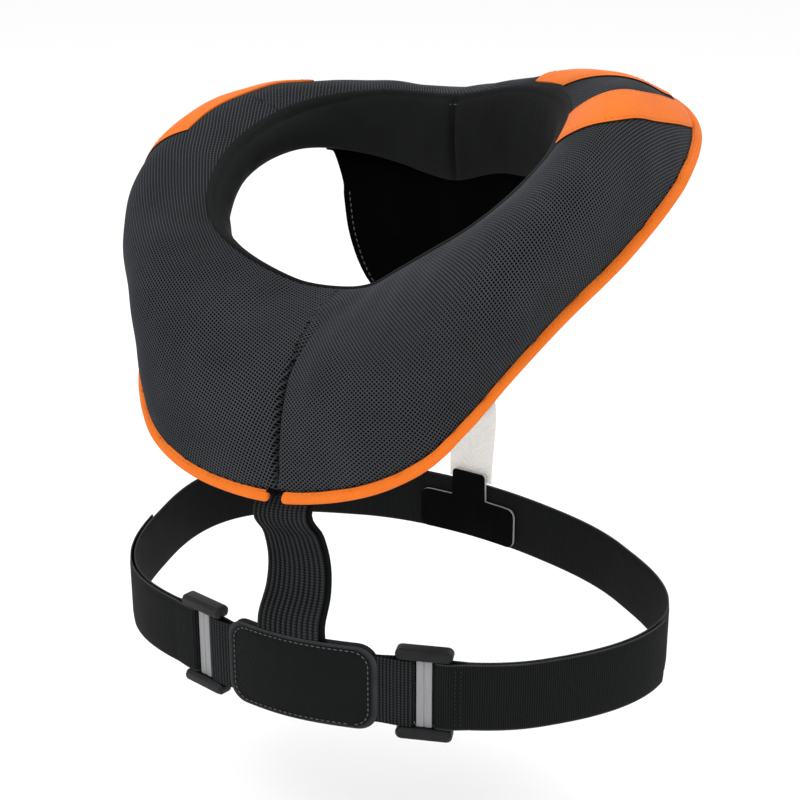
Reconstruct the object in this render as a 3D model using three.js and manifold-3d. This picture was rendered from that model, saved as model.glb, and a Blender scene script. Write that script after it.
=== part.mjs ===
// A padded neck brace for motocross, as worn: a foam collar covered with mesh, a smooth lining
// roll round the neck, orange shoulder bands and edge binding, a back panel, and a chest belt
// with two slide adjusters, held to the collar by a strap in front and one behind.
// Millimetres. +X is the wearer's left, -Y the front, +Z up. The origin is the middle of the
// neck opening, where the collar sits on the wearer. Turns are degrees round the neck or the
// belt, 0 at the front and growing towards the wearer's left.
import * as THREE from 'three';
import { mergeVertices } from 'three/addons/utils/BufferGeometryUtils.js';
import Module from 'manifold-3d';

const wasm = await Module();
wasm.setup();

// Collar: the neck opening and the outline, measured from the origin
const NECK_HALF_WIDTH = 110;
const NECK_HALF_DEPTH = 93;
const NECK_SLOPE = 49;
const COLLAR_HALF_WIDTH = 179;
const COLLAR_FRONT_REACH = 173;
const COLLAR_BACK_REACH = 125;
const COLLAR_DROP = 148;
// How the soft collar hangs in the photograph: lower on the wearer's right and a little turned
const COLLAR_ROLL = -6.4;
const COLLAR_YAW = -6.1;
// Collar: the pad
const PAD_CREST = 30;
const PAD_WALL = 50;
const PAD_EDGE = 5;
const PAD_HOLLOW = 8;
const SWELL_POWER = 0.8;
// Way across the front for the collar table's first step of turn
const RIM_WAY = 53;
const WALL_LEAN = 0.12;
const SLIT_WIDTH = 5;
const SLIT_HEIGHT = 62;
const SLIT_TURN = 1.3;
const SLIT_BEHIND = 60;
const SLIT_BEFORE = 30;
const BAND = 1.2;
// Collar: the lining roll and the edge binding
const LINING_ROLL = 7;
const LINING_LIP = 0.22;
const LINING_POWER = 0.6;
const BINDING_WIDTH = 7.5;
const BINDING_THICKNESS = 6;
// Belt: plan, webbing and place under the neck opening
const BELT_REACH = 190;
const BELT_FORWARD = 46;
const PATCH_TURN = 5;
const TAB_TURN = 176;
const BELT_DROP = 256;
const BELT_WIDTH = 42;
const WEBBING = 1.6;
const LAYER_PITCH = 2.4;
const OUTER_LAYER_END = 88;
// Way past an adjuster's bar over which the two layers close up
const LAYER_CLOSING = 12;
// Slide adjusters
const BUCKLE_TURN_LEFT = 36.5;
const BUCKLE_TURN_RIGHT = 28.5;
const BUCKLE_WIDTH = 33;
const BUCKLE_HEIGHT = 58;
const BUCKLE_CAP_DEPTH = 10;
const CAP_BEVEL = 2;
const BUCKLE_CORNER = 3;
const WINDOW_CORNER = 1;
const BAR_PITCH = 11;
const BAR_WIDTH = 5;
const BAR_THICKNESS = 3;
const CENTRE_BAR_WIDTH = 9;
// Front patch and front straps
const PATCH_WIDTH = 91;
const PATCH_HEIGHT = 53;
const PATCH_CORNER = 12;
const LEATHER = 1.8;
const FRONT_STRAP_WIDTH = 40;
const FRONT_STRAP_THICKNESS = 1.8;
const BACKING = 1.2;
const BACKING_GAP = 0.75;
const BACKING_WIDTH = 24;
const BACKING_SHIFT = 11;
const TUCK_SHIFT = 12;
const PATCH_SHIFT = 2;
const STRAP_SAG = 22;
const STRAP_TUCK = 13;
const TUCK_CLEARANCE = 0.9;
// Back panel, back strap and belt tab
const PANEL_HALF_WIDTH = 74;
const PANEL_THICKNESS = 4;
const PANEL_BEND = 18;
const PANEL_TURN = 47;
const PANEL_CLEARANCE = 1.5;
const BACK_STRAP_WIDTH = 34;
const TAB_WIDTH = 78;
const TAB_HEIGHT = 29;
const TAB_STEM_WIDTH = 27;
const TAB_STEM_HEIGHT = 20;
const TAB_LIFT = 1;
const TAB_CORNER = 6;
const TAB_THICKNESS = 2;
// Clearance between pieces that touch
const GAP = 0.3;

const BLACK_MESH = 0x1b1f24;
const ORANGE = 0xf5822d;
const NEOPRENE = 0x141618;
const WEBBING_BLACK = 0x17181a;
const LEATHER_BLACK = 0x202224;
const PLASTIC_BLACK = 0x18191b;
const BAR_GREY = 0xa9a9ab;
const PALE = 0xefebe6;

// Section rows round the collar, from the front to the back. seamX, seamY and seamZ place the
// seam round the neck opening, rimX, rimY and rimZ the outer edge, as shares of the sizes above.
// crest is the height of the pad over the line from seam to rim and crestAt its place along it,
// wall the height of the inner wall and hollow the arch of the underside.
const COLLAR_COLUMNS = ['turn', 'seamX', 'seamY', 'seamZ', 'rimX', 'rimY', 'rimZ',
  'crest', 'crestAt', 'wall', 'hollow'];
const COLLAR_ROWS = [
  [0, 0, -0.892, -1, 0, -1, -1, 0.93, 0.52, 0.5, 1],
  [15, 0.218, -0.946, -0.918, 0.296, -0.983, -0.953, 0.97, 0.52, 0.5, 1],
  [30, 0.427, -1, -0.694, 0.503, -0.925, -0.851, 0.97, 0.51, 0.5, 0.8],
  [45, 0.618, -0.978, -0.469, 0.62, -0.832, -0.716, 1, 0.5, 0.5, 0.5],
  [60, 0.782, -0.871, -0.265, 0.704, -0.694, -0.574, 1.15, 0.49, 0.46, 0.2],
  [75, 0.918, -0.667, 0, 0.799, -0.509, -0.419, 1.28, 0.49, 0.38, 0],
  [90, 1, -0.323, 0.327, 0.922, -0.266, -0.236, 1.3, 0.48, 0.34, -0.3],
  [105, 0.973, 0.022, 0.571, 1, 0, -0.041, 1.16, 0.46, 0.36, -0.5],
  [120, 0.855, 0.333, 0.735, 0.966, 0.36, 0.108, 0.84, 0.42, 0.46, -0.6],
  [135, 0.655, 0.548, 0.816, 0.804, 0.648, 0.203, 0.5, 0.38, 0.66, -0.6],
  [150, 0.427, 0.677, 0.837, 0.553, 0.856, 0.216, 0.34, 0.35, 0.86, -0.6],
  [165, 0.209, 0.72, 0.776, 0.274, 0.968, 0.196, 0.3, 0.33, 0.96, -0.6],
  [180, 0, 0.731, 0.735, 0, 1, 0.176, 0.32, 0.33, 1, -0.6],
];

// Orange fabric sewn on the pad: the turns of its front and back edges at its inner end, half
// way and at the rim, and how far over the pad it reaches, 0 at the seam and 1 at the rim.
const BAND_COLUMNS = ['side', 'from', 'to', 'frontInner', 'frontMid', 'frontRim',
  'backInner', 'backMid', 'backRim'];
const BANDS = {
  shoulder_band_left: [1, 0.03, 0.985, 85, 99.5, 119, 107, 111.5, 130],
  rear_band_left: [1, 0.06, 0.985, 128, 120, 131.5, 144, 150, 152],
  rear_band_right: [-1, 0.26, 0.985, 97, 92, 92, 132, 138, 146],
};

// Belt plan: the turn and the reach from the belt's middle as a share of BELT_REACH.
const BELT_COLUMNS = ['turn', 'reach'];
const BELT_ROWS = [
  [0, 0.650], [30, 0.693], [60, 0.866], [90, 0.999], [120, 0.841], [150, 0.728],
  [180, 0.728], [210, 0.823], [240, 0.959], [270, 0.862], [300, 0.802], [330, 0.667],
];

// The front strap between the collar and the patch: the share of the way down, and how far it
// lies behind and beside the straight line, as shares of STRAP_SAG.
const FRONT_STRAP_COLUMNS = ['down', 'behind', 'beside'];
const FRONT_STRAP_ROWS = [
  [0.33, -0.42, -0.42],
  [0.52, 0.24, -0.34],
  [0.68, 0.58, -0.26],
  [0.82, 0.50, -0.16],
  [0.93, 0.12, -0.08],
];

// The back panel from the neck lining down: height under the origin and place behind it as
// shares of the belt drop and the collar's back reach, and the half width as a share.
const PANEL_COLUMNS = ['down', 'behind', 'half'];
const PANEL_ROWS = [
  [0.085, 0.615, 0.99],
  [0.13, 0.640, 1.00],
  [0.24, 0.705, 1.00],
  [0.36, 0.755, 0.90],
  [0.49, 0.795, 0.62],
  [0.60, 0.820, 0.38],
  [0.68, 0.825, 0.27],
  [0.72, 0.825, 0.18],
];

const PAD_STEPS = 72;
const PAD_STATIONS = [0, 0.03, 0.09, 0.18, 0.3, 0.44, 0.58, 0.72, 0.85, 0.94, 1];
const LINING_STATIONS = [0, 0.12, 0.4, 0.72, 1];
// Where the front strap and the back panel are sewn under the pad
const TUCK_STATIONS = PAD_STATIONS.slice(5, 8);
const PANEL_STATIONS = [0.36, 0.25];

const RADIANS = Math.PI / 180;
// The rows of a table as records with the names of its columns.
const named = (columns, rows) => rows.map((row) => Object.fromEntries(
  columns.map((name, i) => [name, row[i]])));
const mix = (a, b, t) => a + (b - a) * t;
const range = (n) => Array.from({ length: n }, (_, i) => i);
const spread = (n, from, to) => range(n + 1).map((i) => mix(from, to, i / n));

// Smooth value through four neighbouring rows.
function smooth(a, b, c, d, t) {
  return 0.5 * (2 * b + (c - a) * t + (2 * a - 5 * b + 4 * c - d) * t * t
    + (3 * b - a - 3 * c + d) * t ** 3);
}

// A value of the collar table at a turn; the right half mirrors the left.
function collarValue(turn, name) {
  const column = COLLAR_COLUMNS.indexOf(name);
  const last = COLLAR_ROWS.length - 1;
  const odd = name.endsWith('X') ? -1 : 1;
  const place = (turn / COLLAR_ROWS[last][0]) * last;
  const row = (i) => {
    const k = ((i % (2 * last)) + 2 * last) % (2 * last);
    return k <= last ? COLLAR_ROWS[k][column] : odd * COLLAR_ROWS[2 * last - k][column];
  };
  const i = Math.floor(place);
  return smooth(row(i - 1), row(i), row(i + 1), row(i + 2), place - i);
}

// The belt's reach at a turn, as a share of BELT_REACH.
function beltValue(turn) {
  const rows = named(BELT_COLUMNS, BELT_ROWS);
  const n = rows.length;
  const place = (turn / 360) * n;
  const row = (i) => rows[((i % n) + n) % n].reach;
  const i = Math.floor(place);
  return smooth(row(i - 1), row(i), row(i + 1), row(i + 2), place - i);
}

// One closed body through a row of sections. Each section lists its points once round, as many
// on the way out as on the way back, so that an end closes with a strip between the two ways.
function loft(sections, ring = false) {
  const n = sections[0].length;
  const positions = sections.flat().flatMap((p) => [p.x, p.y, p.z]);
  const index = [];
  const quad = (a, b, c, d) => index.push(a, b, c, a, c, d);
  const spans = ring ? sections.length : sections.length - 1;
  for (let i = 0; i < spans; i += 1) {
    const here = i * n;
    const next = ((i + 1) % sections.length) * n;
    for (let j = 0; j < n; j += 1) {
      const k = (j + 1) % n;
      quad(here + j, here + k, next + k, next + j);
    }
  }
  if (!ring) {
    const end = (sections.length - 1) * n;
    for (let j = 0; j < n / 2 - 1; j += 1) {
      quad(j, n - 1 - j, n - 2 - j, j + 1);
      quad(end + j, end + j + 1, end + n - 2 - j, end + n - 1 - j);
    }
  }
  let geometry = new THREE.BufferGeometry();
  geometry.setAttribute('position', new THREE.Float32BufferAttribute(positions, 3));
  geometry.setIndex(index);
  geometry = mergeVertices(geometry, 1e-4);
  return facingOut(dropSlivers(geometry));
}

// Removes triangles whose corners have become one point.
function dropSlivers(geometry) {
  const old = geometry.index.array;
  const kept = [];
  for (let i = 0; i < old.length; i += 3) {
    const [a, b, c] = [old[i], old[i + 1], old[i + 2]];
    if (a !== b && b !== c && a !== c) kept.push(a, b, c);
  }
  geometry.setIndex(kept);
  return geometry;
}

// Turns the faces round where the body would have a negative volume.
function facingOut(geometry) {
  const p = geometry.attributes.position;
  const index = Array.from(geometry.index.array);
  const corner = (i) => new THREE.Vector3().fromBufferAttribute(p, index[i]);
  let volume = 0;
  for (let i = 0; i < index.length; i += 3) {
    volume += corner(i).dot(corner(i + 1).cross(corner(i + 2)));
  }
  if (volume < 0) {
    for (let i = 0; i < index.length; i += 3) {
      [index[i + 1], index[i + 2]] = [index[i + 2], index[i + 1]];
    }
    geometry.setIndex(index);
  }
  return geometry;
}

function toSolid(geometry) {
  const bare = geometry.clone();
  bare.deleteAttribute('normal');
  bare.deleteAttribute('uv');
  const merged = mergeVertices(bare, 1e-4);
  return new wasm.Manifold(new wasm.Mesh({
    numProp: 3,
    vertProperties: new Float32Array(merged.attributes.position.array),
    triVerts: new Uint32Array(merged.index.array),
  }));
}

function toGeometry(solid) {
  const mesh = solid.getMesh();
  const geometry = new THREE.BufferGeometry();
  geometry.setAttribute('position', new THREE.Float32BufferAttribute(mesh.vertProperties, 3));
  geometry.setIndex(Array.from(mesh.triVerts));
  return geometry;
}

function piece(name, geometry, color, roughness, metalness = 0) {
  geometry.computeVertexNormals();
  const material = new THREE.MeshStandardMaterial({ color, roughness, metalness });
  const mesh = new THREE.Mesh(geometry, material);
  mesh.name = name;
  return mesh;
}

// The frame of one collar section: seam, rim, foot of the inner wall, the direction from seam
// to rim, and the pad's outward normal.
function collarFrame(turn) {
  const value = (name) => collarValue(turn, name);
  const rimY = (t) => {
    const share = collarValue(t, 'rimY');
    return share * (share < 0 ? COLLAR_FRONT_REACH : COLLAR_BACK_REACH);
  };
  const seamAt = (t) => new THREE.Vector3(collarValue(t, 'seamX') * NECK_HALF_WIDTH,
    collarValue(t, 'seamY') * NECK_HALF_DEPTH, collarValue(t, 'seamZ') * NECK_SLOPE);
  const rimAt = (t) => new THREE.Vector3(collarValue(t, 'rimX') * COLLAR_HALF_WIDTH,
    rimY(t), collarValue(t, 'rimZ') * COLLAR_DROP);
  const seam = seamAt(turn);
  const rim = rimAt(turn);
  const out = rim.clone().sub(seam).normalize();
  const step = 2;
  const along = seamAt(turn + step).add(rimAt(turn + step))
    .sub(seamAt(turn - step)).sub(rimAt(turn - step)).normalize();
  const normal = out.clone().cross(along).normalize();
  const inward = new THREE.Vector3(-out.x, -out.y, 0).normalize();
  const wall = value('wall') * PAD_WALL;
  const foot = seam.clone().addScaledVector(inward, wall * WALL_LEAN);
  foot.z -= wall;
  const edge = rim.clone().addScaledVector(out, -BINDING_WIDTH - 2 * GAP);
  return { seam, rim, out, normal, inward, foot, edge,
    crest: value('crest') * PAD_CREST, crestAt: value('crestAt'),
    hollow: value('hollow') * PAD_HOLLOW };
}

// Height of a rounded swell along a section, 0 at both ends and 1 at its crest.
function swell(v, at) {
  if (v <= 0 || v >= 1) return 0;
  return Math.sin(Math.PI * v ** (Math.log(0.5) / Math.log(at))) ** SWELL_POWER;
}

function padTop(turn, v) {
  const f = collarFrame(turn);
  return f.seam.clone().lerp(f.edge, v)
    .addScaledVector(f.normal, f.crest * swell(v, f.crestAt) + (PAD_EDGE / 2) * v ** 3);
}

function padUnder(turn, v) {
  const f = collarFrame(turn);
  return f.foot.clone().lerp(f.edge, v)
    .addScaledVector(f.normal, f.hollow * swell(v, 0.5) - (PAD_EDGE / 2) * v ** 3);
}

// The wedge that parts the two front lobes, from the edge up to the end of the slit.
function slitCutter() {
  const bottom = -COLLAR_DROP - PAD_WALL;
  const top = -COLLAR_DROP + SLIT_HEIGHT;
  const width = SLIT_WIDTH / 2 * ((top - bottom) / SLIT_HEIGHT);
  const wedge = new THREE.Shape([
    new THREE.Vector2(-width, bottom), new THREE.Vector2(width, bottom),
    new THREE.Vector2(0, top)]);
  const geometry = new THREE.ExtrudeGeometry(wedge, { depth: SLIT_BEHIND + SLIT_BEFORE,
    bevelEnabled: false });
  geometry.rotateX(Math.PI / 2);
  geometry.translate(0, -COLLAR_FRONT_REACH + SLIT_BEHIND, 0);
  return toSolid(geometry);
}

function collarPad() {
  return piece('collar_pad', toGeometry(raisedPad(0).subtract(slitCutter())), BLACK_MESH, 0.9);
}

// The normal at one point of a grid of points.
function gridNormal(rows, i, j) {
  const last = (list) => list.length - 1;
  const at = (a, b) => rows[Math.min(Math.max(a, 0), last(rows))][
    Math.min(Math.max(b, 0), last(rows[0]))];
  return at(i + 1, j).clone().sub(at(i - 1, j))
    .cross(at(i, j + 1).clone().sub(at(i, j - 1))).normalize();
}

// A grid moved along its normals.
const lifted = (rows, by) => rows.map((row, i) => row.map((p, j) => p.clone()
  .addScaledVector(gridNormal(rows, i, j), by)));

// A sheet of even thickness through a grid of points on its middle surface.
function sheet(rows, thickness) {
  const [above, below] = [lifted(rows, thickness / 2), lifted(rows, -thickness / 2)];
  return loft(rows.map((_, i) => [...above[i], ...below[i].reverse()]));
}

// A curve through three values, at 0, half way and 1.
const through = (a, b, c, t) => a + (4 * b - 3 * a - c) * t + (2 * a - 4 * b + 2 * c) * t * t;

// A point above the pad's top, along the surface's own normal.
function overPad(turn, v, height) {
  const [step, nudge] = [1, 0.01];
  const across = padTop(turn, v + nudge).sub(padTop(turn, v - nudge));
  const along = padTop(turn + step, v).sub(padTop(turn - step, v));
  return padTop(turn, v).addScaledVector(across.cross(along).normalize(), height);
}

// The pad as a solid with its top raised by a height, at the same stations each time, so that
// the faces of two such solids lie side by side.
function raisedPad(height) {
  const raise = (turn) => (v) => (height > 0 ? overPad(turn, v, height) : padTop(turn, v));
  return toSolid(loft(spread(PAD_STEPS, 0, 360).slice(0, -1).map((turn) => [
    ...PAD_STATIONS.map(raise(turn)),
    ...PAD_STATIONS.map((v) => padUnder(turn, v)).reverse()]), true));
}

// One band, cut from a skin on the pad's top by a thick sheet with the band's outline.
function band(name) {
  const [b] = named(BAND_COLUMNS, [BANDS[name]]);
  const rows = spread(8, 0, 1).map((t) => {
    const v = mix(b.from, b.to, t);
    const front = through(b.frontInner, b.frontMid, b.frontRim, t);
    const back = through(b.backInner, b.backMid, b.backRim, t);
    return spread(5, front, back).map((turn) => overPad(b.side * turn, v, BAND));
  });
  const outline = toSolid(sheet(rows, 8 * BAND));
  const skin = raisedPad(GAP + BAND).subtract(raisedPad(GAP));
  return piece(name, toGeometry(skin.intersect(outline)), ORANGE, 0.8);
}

// The smooth roll that lines the neck opening, against the pad's inner wall.
function neckLining() {
  const sections = spread(PAD_STEPS, 0, 360).slice(0, -1).map((turn) => {
    const f = collarFrame(turn);
    const wallPoint = (h) => f.seam.clone().lerp(f.foot, h);
    const outer = LINING_STATIONS.map((h) => wallPoint(h).addScaledVector(f.inward, 1.5 * GAP));
    const inner = LINING_STATIONS.map((h) => {
      const bulge = LINING_ROLL * mix(LINING_LIP, 1, Math.sin(Math.PI * h) ** LINING_POWER);
      return wallPoint(h).addScaledVector(f.inward, 1.5 * GAP + bulge);
    });
    return [...outer, ...inner.reverse()];
  });
  return piece('neck_lining', loft(sections, true), NEOPRENE, 0.75);
}

// The orange binding along the collar's edge, open at the slit in front. Its flat inner face
// stands against the pad's edge at the same stations.
function edgeBinding() {
  const half = [[1, 0.42], [0.6, 0.5], [0.22, 0.4], [0, 0.16]];
  const profile = [...half, ...half.map(([inside, up]) => [inside, -up]).reverse()];
  const turns = spread(PAD_STEPS, 0, 360).slice(1, -1);
  const sections = [SLIT_TURN, ...turns, 360 - SLIT_TURN].map((turn) => {
    const f = collarFrame(turn);
    return profile.map(([inside, up]) => f.rim.clone()
      .addScaledVector(f.out, -inside * BINDING_WIDTH)
      .addScaledVector(f.normal, up * BINDING_THICKNESS));
  });
  return piece('edge_binding', loft(sections), ORANGE, 0.7);
}

// Plan of the belt: a point at a turn, and the outward normal there.
function beltPoint(turn, offset = 0) {
  const at = (t) => {
    const reach = beltValue(t) * BELT_REACH;
    return new THREE.Vector2(reach * Math.sin(t * RADIANS), -reach * Math.cos(t * RADIANS));
  };
  const along = at(turn + 1).sub(at(turn - 1)).normalize();
  return at(turn).add(new THREE.Vector2(along.y, -along.x).multiplyScalar(offset));
}

// An upright strap along a path in plan, from height low to height high.
function uprightStrap(path, thickness, low, high) {
  const sections = path.map((p, i) => {
    const before = path[Math.max(i - 1, 0)];
    const after = path[Math.min(i + 1, path.length - 1)];
    const along = after.clone().sub(before).normalize();
    const side = new THREE.Vector2(along.y, -along.x).multiplyScalar(thickness / 2);
    const point = (sign, z) => new THREE.Vector3(p.x + sign * side.x, p.y + sign * side.y, z);
    return [point(1, low), point(1, high), point(-1, high), point(-1, low)];
  });
  return loft(sections);
}

const buckleTurn = (side) => (side > 0 ? BUCKLE_TURN_LEFT : BUCKLE_TURN_RIGHT);

// Local frame of one adjuster: its middle on the belt, the direction along the belt away from
// the patch, and the outward normal.
function buckleFrame(side) {
  const turn = side * buckleTurn(side);
  const middle = beltPoint(turn);
  const ahead = beltPoint(turn + side * 4);
  const along = ahead.sub(beltPoint(turn - side * 4)).normalize();
  const out = middle.clone().normalize();
  out.sub(along.clone().multiplyScalar(out.dot(along))).normalize();
  return { middle, along, out,
    place: (a, o) => middle.clone().add(along.clone().multiplyScalar(a))
      .add(out.clone().multiplyScalar(o)) };
}

const LOOP_RADIUS = BAR_THICKNESS / 2 + GAP + WEBBING / 2;

// The turn round a bar, from past its far edge on the outside round to the same on the inside.
function barLoop(frame, barAt, towards) {
  const flat = BAR_WIDTH / 2 - GAP;
  const past = barAt - towards * (BAR_WIDTH / 2 + 1);
  const bend = spread(6, 90, -90).map((angle) => {
    const a = barAt + towards * (flat + LOOP_RADIUS * Math.cos(angle * RADIANS));
    return frame.place(a, LOOP_RADIUS * Math.sin(angle * RADIANS));
  });
  return [frame.place(past, LOOP_RADIUS), ...bend, frame.place(past, -LOOP_RADIUS)];
}

// The turn reached after a way along the belt's plan from another turn.
function turnAlong(from, way) {
  const step = Math.sign(way) * 0.25;
  let [turn, left] = [from, Math.abs(way)];
  while (left > 0) {
    const stretch = beltPoint(turn).distanceTo(beltPoint(turn + step));
    turn += step * Math.min(1, left / stretch);
    left -= stretch;
  }
  return turn;
}

// How far the bars' loops reach from the adjuster's middle before the layers close up.
const LOOP_REACH = BAR_PITCH + BAR_WIDTH / 2 + LAYER_CLOSING;

// The belt's webbing: an outer layer from one side to its adjuster, round the far bar, all the
// way round the back, round the other adjuster's far bar and back along the outside.
function beltWebbing() {
  const near = (side) => side * turnAlong(side * buckleTurn(side), side * LOOP_REACH);
  const outerLayer = (side) => spread(14, OUTER_LAYER_END, near(side))
    .map((turn) => beltPoint(side * turn, LAYER_PITCH / 2));
  const loop = (side) => barLoop(buckleFrame(side), BAR_PITCH, -1);
  const inner = spread(56, near(1), 360 - near(-1))
    .map((turn) => beltPoint(turn, -LAYER_PITCH / 2));
  const path = [...outerLayer(1), ...loop(1), ...inner,
    ...loop(-1).reverse(), ...outerLayer(-1).reverse()];
  return piece('belt_webbing',
    uprightStrap(path, WEBBING, -BELT_WIDTH / 2, BELT_WIDTH / 2), WEBBING_BLACK, 0.9);
}

// The short ribbed elastic from inside the patch to the adjuster's near bar and back.
function sideElastic(side) {
  const start = turnAlong(PATCH_TURN, side * (PATCH_WIDTH / 2 - STRAP_TUCK));
  const end = turnAlong(side * buckleTurn(side), -side * LOOP_REACH);
  const run = (offset) => spread(4, start, end).map((turn) => beltPoint(turn, offset));
  const loop = barLoop(buckleFrame(side), -BAR_PITCH, 1);
  const path = [...run(LAYER_PITCH / 2), ...loop, ...run(-LAYER_PITCH / 2).reverse()];
  return piece(side > 0 ? 'side_elastic_left' : 'side_elastic_right',
    uprightStrap(path, WEBBING, -BELT_WIDTH / 2, BELT_WIDTH / 2), WEBBING_BLACK, 0.9);
}

function roundedRectangle(width, height, corner) {
  const [w, h] = [width / 2, height / 2];
  const shape = new THREE.Shape();
  shape.moveTo(-w + corner, -h);
  shape.lineTo(w - corner, -h);
  shape.absarc(w - corner, -h + corner, corner, -Math.PI / 2, 0);
  shape.lineTo(w, h - corner);
  shape.absarc(w - corner, h - corner, corner, 0, Math.PI / 2);
  shape.lineTo(-w + corner, h);
  shape.absarc(-w + corner, h - corner, corner, Math.PI / 2, Math.PI);
  shape.lineTo(-w, -h + corner);
  shape.absarc(-w + corner, -h + corner, corner, Math.PI, Math.PI * 1.5);
  return shape;
}

// One slide adjuster: two bars and two thick rounded caps, with an open window.
function buckle(side) {
  const windowHeight = BELT_WIDTH + 4 * GAP;
  const capHeight = (BUCKLE_HEIGHT - windowHeight) / 2;
  const plate = roundedRectangle(2 * BAR_PITCH + BAR_WIDTH, BUCKLE_HEIGHT - CAP_BEVEL,
    BUCKLE_CORNER);
  plate.holes.push(new THREE.Path(roundedRectangle(2 * BAR_PITCH - BAR_WIDTH, windowHeight,
    WINDOW_CORNER).getPoints(1)));
  const plateGeometry = new THREE.ExtrudeGeometry(plate,
    { depth: BAR_THICKNESS, bevelEnabled: false, curveSegments: 2 });
  plateGeometry.translate(0, 0, -BAR_THICKNESS / 2);
  let solid = toSolid(plateGeometry);
  [1, -1].forEach((up) => {
    const profile = roundedRectangle(BUCKLE_WIDTH, capHeight, capHeight / 2 - 0.1);
    const cap = new THREE.ExtrudeGeometry(profile, { depth: BUCKLE_CAP_DEPTH - 2 * CAP_BEVEL,
      bevelEnabled: true, bevelThickness: CAP_BEVEL, bevelSize: 0.75 * CAP_BEVEL,
      bevelOffset: -0.75 * CAP_BEVEL, bevelSegments: 1, curveSegments: 3 });
    cap.translate(0, up * (windowHeight + capHeight) / 2, CAP_BEVEL - BUCKLE_CAP_DEPTH / 2);
    solid = solid.add(toSolid(cap));
  });
  return placeOnBelt(piece(side > 0 ? 'buckle_left' : 'buckle_right', toGeometry(solid),
    PLASTIC_BLACK, 0.45), side);
}

// The grey bar in the middle of the adjuster's window, with a groove down its face.
function centreBar(side) {
  const [w, t, groove] = [CENTRE_BAR_WIDTH / 2, BAR_THICKNESS / 2, 0.6];
  const outline = new THREE.Shape([
    [-w, -t], [w, -t], [w, t], [groove, t], [0, t - groove], [-groove, t], [-w, t],
  ].map(([x, y]) => new THREE.Vector2(x, y)));
  const height = BELT_WIDTH + 2 * GAP;
  const geometry = new THREE.ExtrudeGeometry(outline, { depth: height, bevelEnabled: false });
  geometry.rotateX(Math.PI / 2);
  geometry.translate(0, height / 2, 0);
  return placeOnBelt(piece(side > 0 ? 'centre_bar_left' : 'centre_bar_right', geometry,
    BAR_GREY, 0.5, 0.3), side);
}

// Stands a piece drawn in its own plane, x along the belt and y up, on the adjuster's place.
function placeOnBelt(mesh, side) {
  const { middle, out } = buckleFrame(side);
  const matrix = new THREE.Matrix4().makeBasis(
    new THREE.Vector3(-out.y, out.x, 0), new THREE.Vector3(0, 0, 1),
    new THREE.Vector3(out.x, out.y, 0));
  mesh.quaternion.setFromRotationMatrix(matrix);
  mesh.position.set(middle.x, middle.y, 0);
  return mesh;
}

// A plate bent along the belt. Its columns give the way from the middle, the low edge and the
// high edge; from is the turn of its middle and offset its place in or out from the belt.
function bentPlate(columns, from, offset, thickness, steps = 1) {
  const rows = columns.map(([way, low, high]) => {
    const p = beltPoint(turnAlong(from, way), offset);
    return spread(steps, low, high).map((z) => new THREE.Vector3(p.x, p.y, z));
  });
  return sheet(rows, thickness);
}

// Columns of a plate with rounded corners.
function roundedColumns(width, low, high, corner) {
  const drop = (t) => corner * (1 - Math.sqrt(1 - t * t));
  const bend = [1, 0.95, 0.8, 0.55, 0.25].map((t) => [width / 2 - corner * (1 - t), drop(t)]);
  const flat = spread(6, width / 2 - corner, 0).map((way) => [way, 0]);
  const half = [...bend, ...flat];
  const left = half.map(([way, d]) => [-way, low + d, high - d]);
  const right = half.slice(0, -1).reverse().map(([way, d]) => [way, low + d, high - d]);
  return [...left, ...right];
}

// How far the patch's two leather layers lie from the belt's middle surface.
const PATCH_OFFSET = LAYER_PITCH / 2 + WEBBING / 2 + GAP + LEATHER / 2;

function frontPatch(name, sign) {
  const columns = roundedColumns(PATCH_WIDTH, -PATCH_HEIGHT / 2, PATCH_HEIGHT / 2, PATCH_CORNER);
  return piece(name, bentPlate(columns, PATCH_TURN, sign * PATCH_OFFSET, LEATHER), LEATHER_BLACK, 0.6);
}

// How far inside the belt's middle surface the tab's middle lies.
const TAB_REST = LAYER_PITCH / 2 + WEBBING / 2 + GAP + TAB_THICKNESS / 2;

// The tab on the belt's inner face at the back: a wide foot and a stem that stands above it.
function backTab() {
  const low = TAB_LIFT - BELT_WIDTH / 2;
  const high = low + TAB_HEIGHT;
  const foot = roundedColumns(TAB_WIDTH, low, high, TAB_CORNER);
  const stem = TAB_STEM_WIDTH / 2;
  const top = high + TAB_STEM_HEIGHT;
  const rise = roundedColumns(TAB_STEM_WIDTH, low, top, TAB_CORNER / 2)
    .map(([way, , upper]) => [way, low, upper]);
  const outside = foot.filter(([way]) => Math.abs(way) > stem + 1);
  const step = (way) => [way, low, high];
  const columns = [...outside.filter(([way]) => way < 0), step(-stem - 0.4), ...rise,
    step(stem + 0.4), ...outside.filter(([way]) => way > 0)];
  return piece('back_tab', bentPlate(columns, TAB_TURN, -TAB_REST, TAB_THICKNESS), NEOPRENE, 0.8);
}

const model = new THREE.Group();
const collar = new THREE.Group();
collar.rotation.set(0, COLLAR_ROLL * RADIANS, COLLAR_YAW * RADIANS, 'ZYX');
collar.add(collarPad(), neckLining(), edgeBinding(), ...Object.keys(BANDS).map(band));
model.add(collar);

const belt = new THREE.Group();
belt.position.set(0, -BELT_FORWARD, -BELT_DROP);
belt.add(beltWebbing(), frontPatch('patch_front', 1), frontPatch('patch_back', -1), backTab());
[1, -1].forEach((side) => {
  belt.add(sideElastic(side), buckle(side), centreBar(side));
});
model.add(belt);

// Places in the whole brace of a point of the collar and of a point of the belt.
const fromCollar = (p) => p.clone().applyEuler(collar.rotation);
const fromBelt = (p, z) => new THREE.Vector3(p.x, p.y, z).add(belt.position);

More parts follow.
